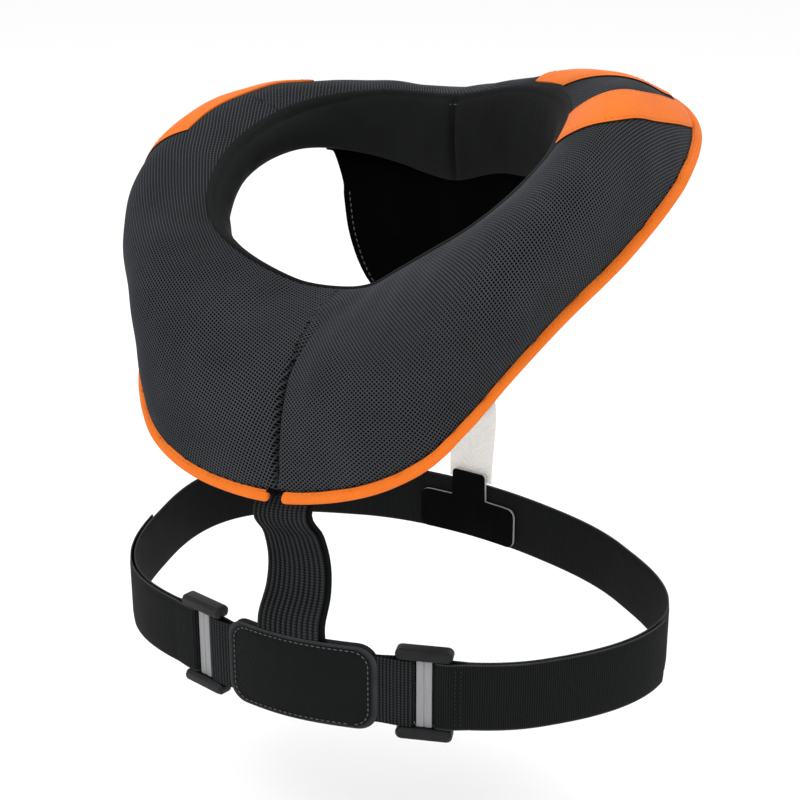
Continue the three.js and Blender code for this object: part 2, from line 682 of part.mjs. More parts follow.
// The middle surface of the front strap at some places across it: under the pad, then free,
// then inside the patch.
function frontSurface(ways) {
  const tuck = TUCK_STATIONS.map((v) => ways.map((way) => {
    const turn = ((way + TUCK_SHIFT) / RIM_WAY) * 15;
    return fromCollar(padUnder(turn, v).addScaledVector(collarFrame(turn).normal,
      -TUCK_CLEARANCE - FRONT_STRAP_THICKNESS / 2));
  }));
  const inside = spread(2, PATCH_HEIGHT / 2 + 1, PATCH_HEIGHT / 2 - STRAP_TUCK)
    .map((z) => ways.map((way) => fromBelt(
      beltPoint(turnAlong(0, way + PATCH_SHIFT), FRONT_STRAP_THICKNESS / 2), z)));
  const [top, bottom] = [tuck[tuck.length - 1], inside[0]];
  const free = named(FRONT_STRAP_COLUMNS, FRONT_STRAP_ROWS).map((row) => ways.map((way, k) => {
    const p = top[k].clone().lerp(bottom[k], row.down);
    return p.add(new THREE.Vector3(row.beside, row.behind, 0).multiplyScalar(STRAP_SAG));
  }));
  return [...tuck, ...free, ...inside];
}

function frontStraps() {
  const half = FRONT_STRAP_WIDTH / 2;
  const elastic = frontSurface(spread(6, -half, half));
  const ways = spread(4, BACKING_SHIFT - BACKING_WIDTH / 2, BACKING_SHIFT + BACKING_WIDTH / 2);
  const behind = (FRONT_STRAP_THICKNESS + BACKING) / 2 + BACKING_GAP;
  return [
    piece('front_elastic', sheet(elastic, FRONT_STRAP_THICKNESS), WEBBING_BLACK, 0.9),
    piece('front_backing', sheet(lifted(frontSurface(ways), -behind), BACKING),
      NEOPRENE, 0.8)];
}

model.add(...frontStraps());

// The stiff panel behind the wearer's neck: sewn under the pad, then down, bent a little round
// the back.
function backPanel() {
  const under = PANEL_STATIONS.map((v) => spread(8, 180 + PANEL_TURN, 180 - PANEL_TURN)
    .map((turn) => fromCollar(padUnder(turn, v).addScaledVector(collarFrame(turn).normal,
      -PANEL_CLEARANCE - PANEL_THICKNESS / 2))));
  const rows = named(PANEL_COLUMNS, PANEL_ROWS).map((row) => {
    const reach = row.half * PANEL_HALF_WIDTH;
    return spread(8, -reach, reach).map((x) => new THREE.Vector3(x,
      row.behind * COLLAR_BACK_REACH - PANEL_BEND * (x / PANEL_HALF_WIDTH) ** 2,
      -row.down * BELT_DROP));
  });
  return piece('back_panel', sheet([...under, ...rows], PANEL_THICKNESS), NEOPRENE, 0.8);
}

// The pale strap: on the outside of the panel, then free, then behind the tab's stem.
function backStrap() {
  const panel = named(PANEL_COLUMNS, PANEL_ROWS);
  const last = panel[panel.length - 1];
  const top = panel[panel.length - 3].down * BELT_DROP;
  const low = BELT_DROP - BELT_WIDTH / 2 - 1;
  const leaves = (last.down * BELT_DROP - top) / (low - top) + 0.05;
  const outside = last.behind * COLLAR_BACK_REACH + PANEL_THICKNESS / 2 + 2 * GAP + WEBBING / 2;
  const rest = -TAB_REST + TAB_THICKNESS / 2 + 2 * GAP + WEBBING / 2;
  const rows = spread(10, 0, 1).map((t) => {
    const free = smooth(0, 0, 1, 1, Math.max(0, (t - leaves) / (1 - leaves)));
    return spread(4, -BACK_STRAP_WIDTH / 2, BACK_STRAP_WIDTH / 2).map((way) => {
      const end = fromBelt(beltPoint(turnAlong(TAB_TURN, -way), rest), 0);
      return new THREE.Vector3(mix(way, end.x, t), mix(outside, end.y, free), -mix(top, low, t));
    });
  });
  return piece('back_strap', sheet(rows, WEBBING), PALE, 0.9);
}

model.add(backPanel(), backStrap());

export default model;
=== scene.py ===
"""The looks of a padded neck brace for motocross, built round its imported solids.

Lengths are millimetres until a mesh is made, and turns are degrees round the neck or the belt,
0 at the front and growing towards the wearer's left, as in the part's own source.
"""
import math
import bpy
import numpy as np
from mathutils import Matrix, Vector
from mathutils.bvhtree import BVHTree


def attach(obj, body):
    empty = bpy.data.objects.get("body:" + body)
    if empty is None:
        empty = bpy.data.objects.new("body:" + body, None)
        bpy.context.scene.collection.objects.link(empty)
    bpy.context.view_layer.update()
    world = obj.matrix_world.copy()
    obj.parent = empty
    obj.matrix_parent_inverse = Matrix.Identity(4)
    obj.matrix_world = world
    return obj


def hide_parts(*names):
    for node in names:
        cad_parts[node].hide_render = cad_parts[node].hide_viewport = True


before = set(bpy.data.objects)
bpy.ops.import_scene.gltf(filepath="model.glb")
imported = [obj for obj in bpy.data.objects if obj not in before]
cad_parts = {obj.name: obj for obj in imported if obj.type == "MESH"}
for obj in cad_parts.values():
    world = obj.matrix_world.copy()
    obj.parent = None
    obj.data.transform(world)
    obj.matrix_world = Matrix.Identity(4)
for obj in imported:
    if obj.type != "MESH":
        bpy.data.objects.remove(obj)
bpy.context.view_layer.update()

MILLIMETRE = 0.001
SIDES = ((1, "left"), (-1, "right"))

# Collar, in the sizes of the part's source
NECK_HALF_WIDTH, NECK_HALF_DEPTH, NECK_SLOPE = 110, 93, 49
COLLAR_HALF_WIDTH, COLLAR_FRONT_REACH, COLLAR_BACK_REACH, COLLAR_DROP = 179, 173, 125, 148
COLLAR_ROLL, COLLAR_YAW = -6.4, -6.1
PAD_CREST, PAD_WALL, PAD_EDGE, PAD_HOLLOW = 30, 50, 5, 8
WALL_LEAN, SWELL_POWER = 0.12, 0.8
# The way along the front rim for one step of the collar's table
RIM_WAY = 53
# The orange tape is a little narrower and thinner than its solid, as it shows in front
TAPE_WIDTH, TAPE_THICKNESS = 5.9, 5
LINING_ROLL, LINING_LIP, LINING_POWER = 7, 0.22, 0.6
SLIT_TURN = 1.3
GAP = 0.3
# Belt and what hangs on it
BELT_REACH, BELT_FORWARD, BELT_DROP, BELT_WIDTH = 190, 46, 256, 42
WEBBING, LAYER_PITCH, OUTER_LAYER_END = 1.6, 2.4, 88
BUCKLE_TURN = {1: 36.5, -1: 28.5}
BAR_PITCH, BAR_WIDTH, BAR_THICKNESS = 11, 5, 3
# From a bar's middle to where a strap leaves it, and to where its two layers lie together
TURN_START = BAR_WIDTH / 2 + 1
LOOP_REACH = BAR_PITCH + BAR_WIDTH / 2 + 12
PATCH_TURN, PATCH_WIDTH, PATCH_HEIGHT, PATCH_CORNER, LEATHER = 5, 91, 53, 12, 1.8
# How far the leather reaches past the patch's solid towards the wearer's right
PATCH_REACH = 5
FRONT_STRAP_WIDTH, FRONT_STRAP_THICKNESS = 40, 1.8
BACKING, BACKING_GAP, BACKING_WIDTH, BACKING_SHIFT = 1.2, 0.75, 24, 11
TUCK_SHIFT, PATCH_SHIFT, STRAP_SAG, STRAP_TUCK = 12, 2, 22, 13
PANEL_HALF_WIDTH, PANEL_THICKNESS, PANEL_BEND, PANEL_TURN = 74, 4, 18, 47
BACK_STRAP_WIDTH = 34
TAB_TURN, TAB_WIDTH, TAB_HEIGHT = 176, 78, 42

# Sections of the collar from the front to the back, every 15 degrees: the seam round the neck
# and the outer rim as shares of the sizes above, then the pad's crest, wall and hollow.
TABLE_STEP = 15
COLLAR_COLUMNS = ("seamX", "seamY", "seamZ", "rimX", "rimY", "rimZ",
                  "crest", "crestAt", "wall", "hollow")
COLLAR_ROWS = (
    (0, -0.892, -1, 0, -1, -1, 0.93, 0.52, 0.5, 1),
    (0.218, -0.946, -0.918, 0.296, -0.983, -0.953, 0.97, 0.52, 0.5, 1),
    (0.427, -1, -0.694, 0.503, -0.925, -0.851, 0.97, 0.51, 0.5, 0.8),
    (0.618, -0.978, -0.469, 0.62, -0.832, -0.716, 1, 0.5, 0.5, 0.5),
    (0.782, -0.871, -0.265, 0.704, -0.694, -0.574, 1.15, 0.49, 0.46, 0.2),
    (0.918, -0.667, 0, 0.799, -0.509, -0.419, 1.28, 0.49, 0.38, 0),
    (1, -0.323, 0.327, 0.922, -0.266, -0.236, 1.3, 0.48, 0.34, -0.3),
    (0.973, 0.022, 0.571, 1, 0, -0.041, 1.16, 0.46, 0.36, -0.5),
    (0.855, 0.333, 0.735, 0.966, 0.36, 0.108, 0.84, 0.42, 0.46, -0.6),
    (0.655, 0.548, 0.816, 0.804, 0.648, 0.203, 0.5, 0.38, 0.66, -0.6),
    (0.427, 0.677, 0.837, 0.553, 0.856, 0.216, 0.34, 0.35, 0.86, -0.6),
    (0.209, 0.72, 0.776, 0.274, 0.968, 0.196, 0.3, 0.33, 0.96, -0.6),
    (0, 0.731, 0.735, 0, 1, 0.176, 0.32, 0.33, 1, -0.6),
)
# The orange bands: side, reach over the pad, and the turns of both edges at the inner end, half
# way and at the rim.
BANDS = {
    "shoulder_band_left": (1, 0.03, 0.985, (94, 101, 119), (108, 111.5, 130)),
    "rear_band_left": (1, 0.06, 0.985, (128, 120, 131.5), (144, 150, 152)),
    "rear_band_right": (-1, 0.26, 0.985, (97, 92, 92), (132, 138, 146)),
}
# The belt's reach every 30 degrees, as shares of BELT_REACH
BELT_SHARES = np.array((0.650, 0.693, 0.866, 0.999, 0.841, 0.728,
                        0.728, 0.823, 0.959, 0.862, 0.802, 0.667))
# The front strap from the pad to the patch: way down, and how far behind and beside
FRONT_STRAP_ROWS = ((0.33, -0.42, -0.42), (0.52, 0.24, -0.34), (0.68, 0.58, -0.26),
                    (0.82, 0.50, -0.16), (0.93, 0.12, -0.08))
# The back panel: way down, place behind the neck and half width
PANEL_ROWS = ((0.085, 0.615, 0.99), (0.13, 0.640, 1.00), (0.24, 0.705, 1.00), (0.36, 0.755, 0.90),
              (0.49, 0.795, 0.62), (0.60, 0.820, 0.38), (0.68, 0.825, 0.27), (0.72, 0.825, 0.18))

# The mesh cloth: distance from hole to hole, how far one row lies nearer than that, and how the
# threads, the holes' lips and floors and the foam lie over and under the pad's own surface
HOLE_PITCH, ROW_SHARE = 2.8, 0.86
THREAD_RISE, LIP_RISE, HOLE_DEPTH, FOAM_BELOW = 0.22, 0.02, 0.95, 1.5
# The lip and the floor of a hole, as shares of the way from its middle to its corners
LIP, FLOOR = 0.66, 0.5
# How much painted shade darkens the cloth at a lip, where a thread is 0 and a floor, black as the
# backing under it, 1
LIP_PAINTED_SHADE = 0.25
# Places of the cloth's rows between the seam and the rim
CLOTH_SHARES = np.linspace(0.003, 1.006, 81)
# Seams of the mesh cloth: the turns at the neck, half way and at the rim
PANEL_SEAM_LEFT = (96, 105.5, 124.5)
PANEL_SEAM_RIGHT = (245.5, 245, 241)

# Waves in soft pieces: height, waves round the collar, radians across it and a shift
SOFT_WAVES = ((0.55, 5, 3.1, 0.4), (0.4, 11, -5.3, 1.9), (0.25, 23, 9.7, 4.2))
PUCKERS = ((0.5, 9, 2, 0), (0.35, 21, 0, 1.3), (0.25, 34, -3, 0))
TAPE_WAVES = ((0.05, 41, 0, 0), (0.04, 67, 0, 1))


# Plain geometry

def mix(a, b, t):
    return a + (b - a) * t


def unit(v):
    return v / np.maximum(np.linalg.norm(v, axis=-1, keepdims=True), 1e-9)


def steps_of(points, axis=0):
    """Lengths of the steps from each point of a row or grid to the next."""
    return np.linalg.norm(np.diff(points, axis=axis), axis=-1)


def ways_of(points):
    """Length along a row of points, from its first."""
    return np.concatenate([[0], np.cumsum(steps_of(points))])


def read_along(values, ways, places):
    """Values read at some places along a row, given the way to each of them."""
    return np.stack([np.interp(places, ways, column) for column in values.T], -1)


def shares_eased(count):
    """Shares from 0 to 1, closer together at both ends."""
    return (1 - np.cos(np.linspace(0, math.pi, count))) / 2


def waves(table, turn, across=0.0):
    """The sum of the waves in a table, at a turn and a way across."""
    a = np.radians(turn)
    return sum(height * np.sin(count * a + lean * across + shift)
               for height, count, lean, shift in table)


def smooth(a, b, c, d, t):
    """Smooth value through four neighbours."""
    return 0.5 * (2 * b + (c - a) * t + (2 * a - 5 * b + 4 * c - d) * t**2
                  + (3 * b - a - 3 * c + d) * t**3)


def round_curve(values, turn):
    """Smooth value at a turn through values spaced evenly round the full turn."""
    place = np.asarray(turn, float) / 360 * len(values)
    i = np.floor(place).astype(int)
    around = [values[(i + k) % len(values)] for k in (-1, 0, 1, 2)]
    return smooth(*around, place - i)


def through(three, t):
    """A curve through three values, at 0, half way and 1."""
    a, b, c = three
    return a + (4 * b - 3 * a - c) * t + (2 * a - 4 * b + 2 * c) * t**2


def mirrored(name):
    """A column of the collar's table all round, the right half mirroring the left."""
    k = COLLAR_COLUMNS.index(name)
    half = [row[k] for row in COLLAR_ROWS]
    odd = -1 if name.endswith("X") else 1
    return np.array(half + [odd * x for x in half[-2:0:-1]], float)


COLLAR = {name: mirrored(name) for name in COLLAR_COLUMNS}


def collar_value(turn, name):
    return round_curve(COLLAR[name], turn)


def seam_line(turn):
    return np.stack([collar_value(turn, "seamX") * NECK_HALF_WIDTH,
                     collar_value(turn, "seamY") * NECK_HALF_DEPTH,
                     collar_value(turn, "seamZ") * NECK_SLOPE], -1)


def rim_line(turn):
    y = collar_value(turn, "rimY")
    y = y * np.where(y < 0, COLLAR_FRONT_REACH, COLLAR_BACK_REACH)
    return np.stack([collar_value(turn, "rimX") * COLLAR_HALF_WIDTH, y,
                     collar_value(turn, "rimZ") * COLLAR_DROP], -1)


def collar_section(turn):
    """Seam, rim, the way out, the outward normal, the way in, the wall's foot and the edge."""
    seam, rim, step = seam_line(turn), rim_line(turn), 2
    out = unit(rim - seam)
    along = unit(seam_line(turn + step) + rim_line(turn + step)
                 - seam_line(turn - step) - rim_line(turn - step))
    normal = unit(np.cross(out, along))
    inward = unit(-out * (1, 1, 0))
    wall = (collar_value(turn, "wall") * PAD_WALL)[..., None]
    foot = seam + inward * wall * WALL_LEAN - wall * np.array((0, 0, 1))
    edge = rim - out * (TAPE_WIDTH + 2 * GAP)
    return seam, rim, out, normal, inward, foot, edge


def swell(v, at):
    """A rounded swell along a section, 0 at both ends and 1 at its crest."""
    v = np.clip(v, 1e-9, 1 - 1e-9)
    return np.sin(math.pi * v ** (math.log(0.5) / np.log(at))) ** SWELL_POWER


# How much slimmer the edge is in front, and over how many degrees that fades
SLIMMING, SLIMMING_TURN = 0.2, 70


def slimness(turn):
    """The tape and the pad's edge are thinner in front than at the shoulders."""
    turn = np.asarray(turn, float)
    away = np.minimum(turn % 360, -turn % 360)
    return 1 - SLIMMING * np.exp(-(away / SLIMMING_TURN) ** 2)


def pad_top(turn, v):
    turn, v = np.broadcast_arrays(np.asarray(turn, float), np.asarray(v, float))
    seam, _, _, normal, _, _, edge = collar_section(turn)
    rise = (collar_value(turn, "crest") * PAD_CREST * swell(v, collar_value(turn, "crestAt"))
            + slimness(turn) * PAD_EDGE / 2 * np.maximum(v, 0) ** 3)
    return mix(seam, edge, v[..., None]) + normal * rise[..., None]


def pad_under(turn, v):
    turn, v = np.broadcast_arrays(np.asarray(turn, float), np.asarray(v, float))
    _, _, _, normal, _, foot, edge = collar_section(turn)
    rise = (collar_value(turn, "hollow") * PAD_HOLLOW * swell(v, np.full_like(v, 0.5))
            - slimness(turn) * PAD_EDGE / 2 * v**3)
    return mix(foot, edge, v[..., None]) + normal * rise[..., None]


def over_pad(turn, v, height, slit=True):
    """A point over the pad's top, along the surface's own normal, with the slit pressed in."""
    turn, v = np.broadcast_arrays(np.asarray(turn, float), np.asarray(v, float))
    step, nudge = 1, 0.01
    across = pad_top(turn, v + nudge) - pad_top(turn, v - nudge)
    along = pad_top(turn + step, v) - pad_top(turn - step, v)
    normal = unit(np.cross(across, along))
    point = pad_top(turn, v)
    pressed = slit_depth(point, v) if slit else 0
    return point + normal * (height - pressed + softness(turn, v))[..., None]


# The slit between the two front lobes: a narrow cut at the rim that becomes a fading crease.
# Starts and runs are shares of the way from the neck to the rim.
SLIT_CUT, SLIT_HALF_WIDTH, CUT_START, CUT_RUN, CUT_POWER = 7.5, 1.4, 0.22, 0.38, 1.5
CREASE_DRIFT, CREASE_END, DRIFT_POWER, CREASE_WIDENING = 26, 0.55, 1.6, 1.6
LOBE_PRESS, LOBE_HALF_WIDTH, PRESS_START, PRESS_RUN = 2.6, 15, 0.02, 0.5
RIM_RUN, CUT_AT_RIM = 0.06, 0.35


def slit_depth(point, v):
    """How deep the pad's top is pressed in at the slit and beside it."""
    upper = np.clip((CREASE_END - v) / CREASE_END, 0, 1)
    beside = point[..., 0] - CREASE_DRIFT * upper**DRIFT_POWER
    edge = np.clip((1 - v) / RIM_RUN, 0, 1)
    width = SLIT_HALF_WIDTH * (1 + CREASE_WIDENING * upper)
    cut = SLIT_CUT * np.clip((v - CUT_START) / CUT_RUN, 0, 1) ** CUT_POWER
    cut = cut * np.exp(-(beside / width) ** 2) * mix(CUT_AT_RIM, 1, edge)
    press = LOBE_PRESS * np.clip((v - PRESS_START) / PRESS_RUN, 0, 1) * edge
    press = press * np.exp(-(beside / LOBE_HALF_WIDTH) ** 2)
    return (point[..., 1] < 0) * (cut + press)


# The soft waves of the foam run out over these shares at the neck and at the rim
SOFT_START, SOFT_END = 0.1, 0.12


def softness(turn, v):
    """The slow rise and fall of foam under cloth, up to about a millimetre."""
    fade = np.clip(v / SOFT_START, 0, 1) * np.clip((1 - v) / SOFT_END, 0, 1)
    return waves(SOFT_WAVES, turn, v) * fade


def from_collar(points):
    """Turns points of the collar as it hangs: rolled about +Y, then yawed about +Z."""
    roll, yaw = math.radians(COLLAR_ROLL), math.radians(COLLAR_YAW)
    about_y = np.array(((math.cos(roll), 0, math.sin(roll)), (0, 1, 0),
                        (-math.sin(roll), 0, math.cos(roll))))
    about_z = np.array(((math.cos(yaw), -math.sin(yaw), 0), (math.sin(yaw), math.cos(yaw), 0),
                        (0, 0, 1)))
    return points @ (about_z @ about_y).T


def belt_point(turn, offset=0):
    def at(t):
        reach = round_curve(BELT_SHARES, t) * BELT_REACH
        return np.stack([reach * np.sin(np.radians(t)), -reach * np.cos(np.radians(t))], -1)
    turn = np.asarray(turn, float)
    along = unit(at(turn + 1) - at(turn - 1))
    outward = np.stack([along[..., 1], -along[..., 0]], -1)
    return at(turn) + outward * np.asarray(offset, float)[..., None]


# Turns a good way past a whole round on both sides, and the belt's length up to each
BELT_TURNS = np.arange(-400, 760, 0.5)
BELT_WAYS = ways_of(belt_point(BELT_TURNS))


def turn_along(start, way):
    """The turn reached after a way along the belt's plan from another turn."""
    return np.interp(np.interp(start, BELT_TURNS, BELT_WAYS) + way, BELT_WAYS, BELT_TURNS)


def from_belt(plan, height):
    """A point of the belt's plan at a height over its middle, in the whole brace."""
    plan, height = np.asarray(plan, float), np.asarray(height, float)
    shape = np.broadcast_shapes(plan.shape[:-1], height.shape)
    plan = np.broadcast_to(plan, shape + (2,))
    return np.stack([plan[..., 0], plan[..., 1] - BELT_FORWARD,
                     np.broadcast_to(height - BELT_DROP, shape)], -1)


def grid_normals(grid):
    return unit(np.cross(np.gradient(grid, axis=0), np.gradient(grid, axis=1)))


# Meshes

def make_piece(name, verts, faces, cloth, finish, parent=None):
    """One mesh in metres. cloth gives, at each corner of each face, the millimetres along and
    across the cloth and a third value that the finish may read."""
    mesh = bpy.data.meshes.new(name)
    mesh.from_pydata((np.asarray(verts, float) * MILLIMETRE).tolist(), [], faces)
    layer = mesh.attributes.new("cloth", "FLOAT_VECTOR", "CORNER")
    layer.data.foreach_set("vector", np.asarray(cloth, np.float32).ravel())
    mesh.polygons.foreach_set("use_smooth", [True] * len(faces))
    mesh.set_sharp_from_angle(angle=math.radians(50))
    mesh.materials.append(finish)
    mesh.update()
    piece = bpy.data.objects.new(name, mesh)
    bpy.context.scene.collection.objects.link(piece)
    if parent is None:
        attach(piece, "root")
    else:
        piece.parent = parent
    return piece


def tube(name, sections, finish, across=None, ring=False, parent=None):
    """A closed body through sections, which each list their points once round. It closes on
    itself as a ring, or each end closes with a strip between the section's two halves. across
    holds the way over the cloth to each point of a section, and is measured if it isn't given."""
    rows, n = sections.shape[:2]
    along = ways_of(sections.mean(axis=1))
    closed = np.concatenate([sections[rows // 2], sections[rows // 2][:1]])
    across = ways_of(closed) if across is None else np.append(across, across[0])
    step = float(np.linalg.norm(sections[0].mean(axis=0) - sections[-1].mean(axis=0)))
    along = np.append(along, along[-1] + step)
    faces, cloth = [], []
    for i in range(rows if ring else rows - 1):
        here, after = i * n, (i + 1) % rows * n
        for j in range(n):
            k = (j + 1) % n
            faces.append((here + j, after + j, after + k, here + k))
            cloth += [(along[i], across[j]), (along[i + 1], across[j]),
                      (along[i + 1], across[j + 1]), (along[i], across[j + 1])]
    if not ring:
        end = (rows - 1) * n
        for j in range(n // 2 - 1):
            k = n - 1 - j
            faces += [(j, j + 1, k - 1, k), (end + j, end + k, end + k - 1, end + j + 1)]
            cloth += [(along[0], across[a]) for a in (j, j + 1, k - 1, k)]
            cloth += [(along[-2], across[a]) for a in (j, k, k - 1, j + 1)]
    cloth = np.pad(cloth, ((0, 0), (0, 1)))
    return make_piece(name, sections.reshape(-1, 3), faces, cloth, finish, parent)


# A sheet's long edges are this share of its thickness
SHEET_EDGE = 0.45


def slab(name, grid, thickness, finish):
    """A sheet of even thickness through a grid of points on its middle surface, with its long
    edges rounded over."""
    edges = np.ones(grid.shape[1])
    edges[[0, -1]] = SHEET_EDGE
    half = grid_normals(grid) * (thickness / 2 * edges)[None, :, None]
    sections = np.concatenate([grid + half, (grid - half)[:, ::-1]], axis=1)
    width = ways_of(grid[len(grid) // 2])
    return tube(name, sections, finish, np.concatenate([width, width[::-1]]))


def strap(name, node, grid, thickness, width, length, finish, slot, **laid):
    """A strap that stands for a node, as a sheet through a grid; its flat width and length are not
    used.
    """
    piece = slab(name, grid, thickness, finish)
    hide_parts(node)
    return piece


def hexagons(middle, side, up):
    """Six points round each middle, with the reach sideways and upwards given there."""
    angle = np.radians(np.arange(0, 360, 60))[None, :, None]
    return middle[:, None] + np.cos(angle) * side[:, None] + np.sin(angle) * up[:, None]


def shade_cord(name, path, radius, finish, parent):
    """A thin round cord along a path, coloured as painted shade in the crease of a seam."""
    ahead = unit(np.gradient(path, axis=0))
    side = unit(np.cross(ahead, (0, 0, 1)))
    sections = hexagons(path, side * radius, np.cross(side, ahead) * radius)
    return tube(name, sections, finish, parent=parent)


# A stitch: places along it with its thickness there, and its height over its width
STITCH_RINGS = ((0, 0.25), (0.25, 0.9), (0.75, 0.9), (1, 0.25))
STITCH_HEIGHT = 0.7


def stitches(name, path, normals, finish, parent, pitch=3.6, length=2.5, thread=0.45):
    """A row of short stitches along a path, each a small lens of thread pressed into the cloth."""
    ways, near = ways_of(path), 0.5
    starts = np.arange(pitch / 2, ways[-1] - length, pitch)
    rings = []
    for share, size in STITCH_RINGS:
        at = starts + share * length
        up = unit(read_along(normals, ways, at))
        ahead = read_along(path, ways, at + near) - read_along(path, ways, at - near)
        side = unit(np.cross(up, ahead))
        rings.append(hexagons(read_along(path, ways, at), side * size * thread,
                              up * size * thread * STITCH_HEIGHT))
    verts = np.stack(rings, 1).reshape(-1, 3)
    n, each = 6, 6 * len(STITCH_RINGS)
    one = [(r * n + j, r * n + (j + 1) % n, (r + 1) * n + (j + 1) % n, (r + 1) * n + j)
           for r in range(len(STITCH_RINGS) - 1) for j in range(n)]
    one += [tuple(range(n - 1, -1, -1)), tuple(range(each - n, each))]
    faces = [tuple(each * k + v for v in face) for k in range(len(starts)) for face in one]
    corners = sum(len(face) for face in faces)
    return make_piece(name, verts, faces, np.zeros((corners, 3)), finish, parent)


# Rounding of a CAD node's edges: how near its points are welded, in metres, and the angles in
# degrees up to which faces join, from which edges are rounded and from which shading breaks
WELD_REACH, JOIN_ANGLE, ROUND_ANGLE, SHARP_ANGLE = 1e-5, 2, 28, 40


def eased(node, name, finish, width):
    """A CAD node's own shape with its edges rounded, in a finish of its own."""
    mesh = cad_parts[node].data.copy()
    piece = bpy.data.objects.new(name, mesh)
    bpy.context.scene.collection.objects.link(piece)
    mesh.materials.clear()
    mesh.materials.append(finish)
    weld = piece.modifiers.new("weld", "WELD")
    weld.merge_threshold = WELD_REACH
    flat = piece.modifiers.new("flat", "DECIMATE")
    flat.decimate_type = "DISSOLVE"
    flat.angle_limit = math.radians(JOIN_ANGLE)
    bevel = piece.modifiers.new("ease", "BEVEL")
    bevel.width = width * MILLIMETRE
    bevel.segments = 3
    bevel.limit_method = "ANGLE"
    bevel.angle_limit = math.radians(ROUND_ANGLE)
    bevel.use_clamp_overlap = True
    settled = bpy.data.meshes.new_from_object(
        piece.evaluated_get(bpy.context.evaluated_depsgraph_get()))
    piece.modifiers.clear()
    piece.data = settled
    settled.polygons.foreach_set("use_smooth", [True] * len(settled.polygons))
    settled.set_sharp_from_angle(angle=math.radians(SHARP_ANGLE))
    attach(piece, "root")
    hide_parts(node)
    return piece


# Finishes

def paint(code):
    """A colour written as six hexadecimal digits, in the linear form that a shader takes."""
    parts = [int(code[k:k + 2], 16) / 255 for k in (0, 2, 4)]
    return tuple([p / 12.92 if p <= 0.04045 else ((p + 0.055) / 1.055) ** 2.4 for p in parts]
                 + [1.0])


class Varying:
    """A number that changes over a surface, on which ordinary maths can be written."""

    def __init__(self, finish, socket):
        self.finish, self.socket = finish, socket

    def maths(self, operation, *values):
        made = self.finish.node("Math", {"operation": operation}, dict(enumerate(values)))
        return Varying(self.finish, made.outputs[0])

    def __add__(self, other):
        return self.maths("ADD", self, other)

    def __radd__(self, other):
        return self.maths("ADD", other, self)

    def __sub__(self, other):
        return self.maths("SUBTRACT", self, other)

    def __rsub__(self, other):
        return self.maths("SUBTRACT", other, self)

    def __mul__(self, other):
        return self.maths("MULTIPLY", self, other)

    def __rmul__(self, other):
        return self.maths("MULTIPLY", other, self)

    def sine(self):
        return self.maths("SINE", self)

    def size(self):
        return self.maths("ABSOLUTE", self)

    def held(self):
        """Kept between 0 and 1."""
        made = self.finish.node("Clamp", {}, {"Value": self})
        return Varying(self.finish, made.outputs[0])


class Finish:
    """A material with its shader and the few ways that nodes are added to it."""

    def __init__(self, name, **steady):
        self.material = bpy.data.materials.new(name)
        self.material.use_nodes = True
        self.tree = self.material.node_tree
        self.shader = self.tree.nodes["Principled BSDF"]
        for socket, value in steady.items():
            self.shader.inputs[socket.replace("_", " ")].default_value = value

    def node(self, kind, settings, sockets):
        """A node of a kind: its settings are made first, then its sockets are fed."""
        made = self.tree.nodes.new("ShaderNode" + kind)
        for name, value in settings.items():
            setattr(made, name, value)
        for name, value in sockets.items():
            self.feed(made.inputs[name], value)
        return made

    def feed(self, socket, value):
        if isinstance(value, Varying):
            value = value.socket
        if isinstance(value, bpy.types.NodeSocket):
            self.tree.links.new(value, socket)
        else:
            socket.default_value = value

    def cloth(self):
        """Millimetres along and across the cloth, and its third value."""
        read = self.node("Attribute", {"attribute_name": "cloth"}, {})
        parts = self.node("SeparateXYZ", {}, {0: read.outputs["Vector"]})
        return [Varying(self, parts.outputs[k]) for k in range(3)]

    def place(self):
        return self.node("TexCoord", {}, {}).outputs["Object"]

    def speckle(self, size, detail=3.0, roughness=0.55):
        """Noise with patches of a size in millimetres."""
        made = self.node("TexNoise", {}, {"Vector": self.place(), "Scale": 1000 / size,
                                          "Detail": detail, "Roughness": roughness})
        return Varying(self, made.outputs[0])

    def grain(self, size):
        """Small closed cells of a size in millimetres, as in embossed leather."""
        made = self.node("TexVoronoi", {"feature": "F1"},
                         {"Vector": self.place(), "Scale": 1000 / size})
        return Varying(self, made.outputs["Distance"])

    def ribs(self, way, pitch):
        """Round ribs along a way, from 0 in the grooves to 1 on the ribs."""
        return (way * (2 * math.pi / pitch)).sine() * 0.5 + 0.5

    def blend(self, mask, low, high):
        """A colour between two others."""
        made = self.node("Mix", {"data_type": "RGBA"}, {0: mask, 6: low, 7: high})
        return made.outputs[2]

    def colour(self, value):
        self.feed(self.shader.inputs["Base Color"], value)

    def roughness(self, value):
        self.feed(self.shader.inputs["Roughness"], value)

    def relief(self, height, depth):
        """Small relief of a depth in millimetres."""
        made = self.node("Bump", {}, {"Height": height, "Distance": depth * MILLIMETRE,
                                      "Strength": 1.0})
        self.feed(self.shader.inputs["Normal"], made.outputs[0])


def spacer_finish():
    """Open mesh knit: grey-black threads round holes, with painted shade darkening their lips and
    walls, and black floors where the dark backing shows.
    """
    f = Finish("spacer_mesh", Sheen_Weight=0.02, Specular_IOR_Level=0.08)
    _, _, depth = f.cloth()
    worn = f.speckle(55, 4)
    fibre = f.speckle(0.7, 2)
    thread = f.blend((worn * 0.8 + fibre * 0.5 - 0.15).held(), paint("2b2d30"), paint("505357"))
    # The third value paints shade into the holes: lips and walls darken towards the floors, which
    # are black as the backing
    f.colour(f.blend((depth * 1.6).held(), thread, paint("050506")))
    f.roughness(0.62 + fibre * 0.25)
    f.relief(fibre, 0.15)
    return f.material


def foam_cloth_finish():
    """The dark knit under the mesh, and on the pad's underside."""
    f = Finish("foam_backing_cloth", Specular_IOR_Level=0.05)
    knit = f.speckle(0.9, 2)
    f.colour(f.blend(f.speckle(30, 3), paint("030304"), paint("0b0c0d")))
    f.roughness(0.8 + knit * 0.15)
    f.relief(knit, 0.3)
    return f.material


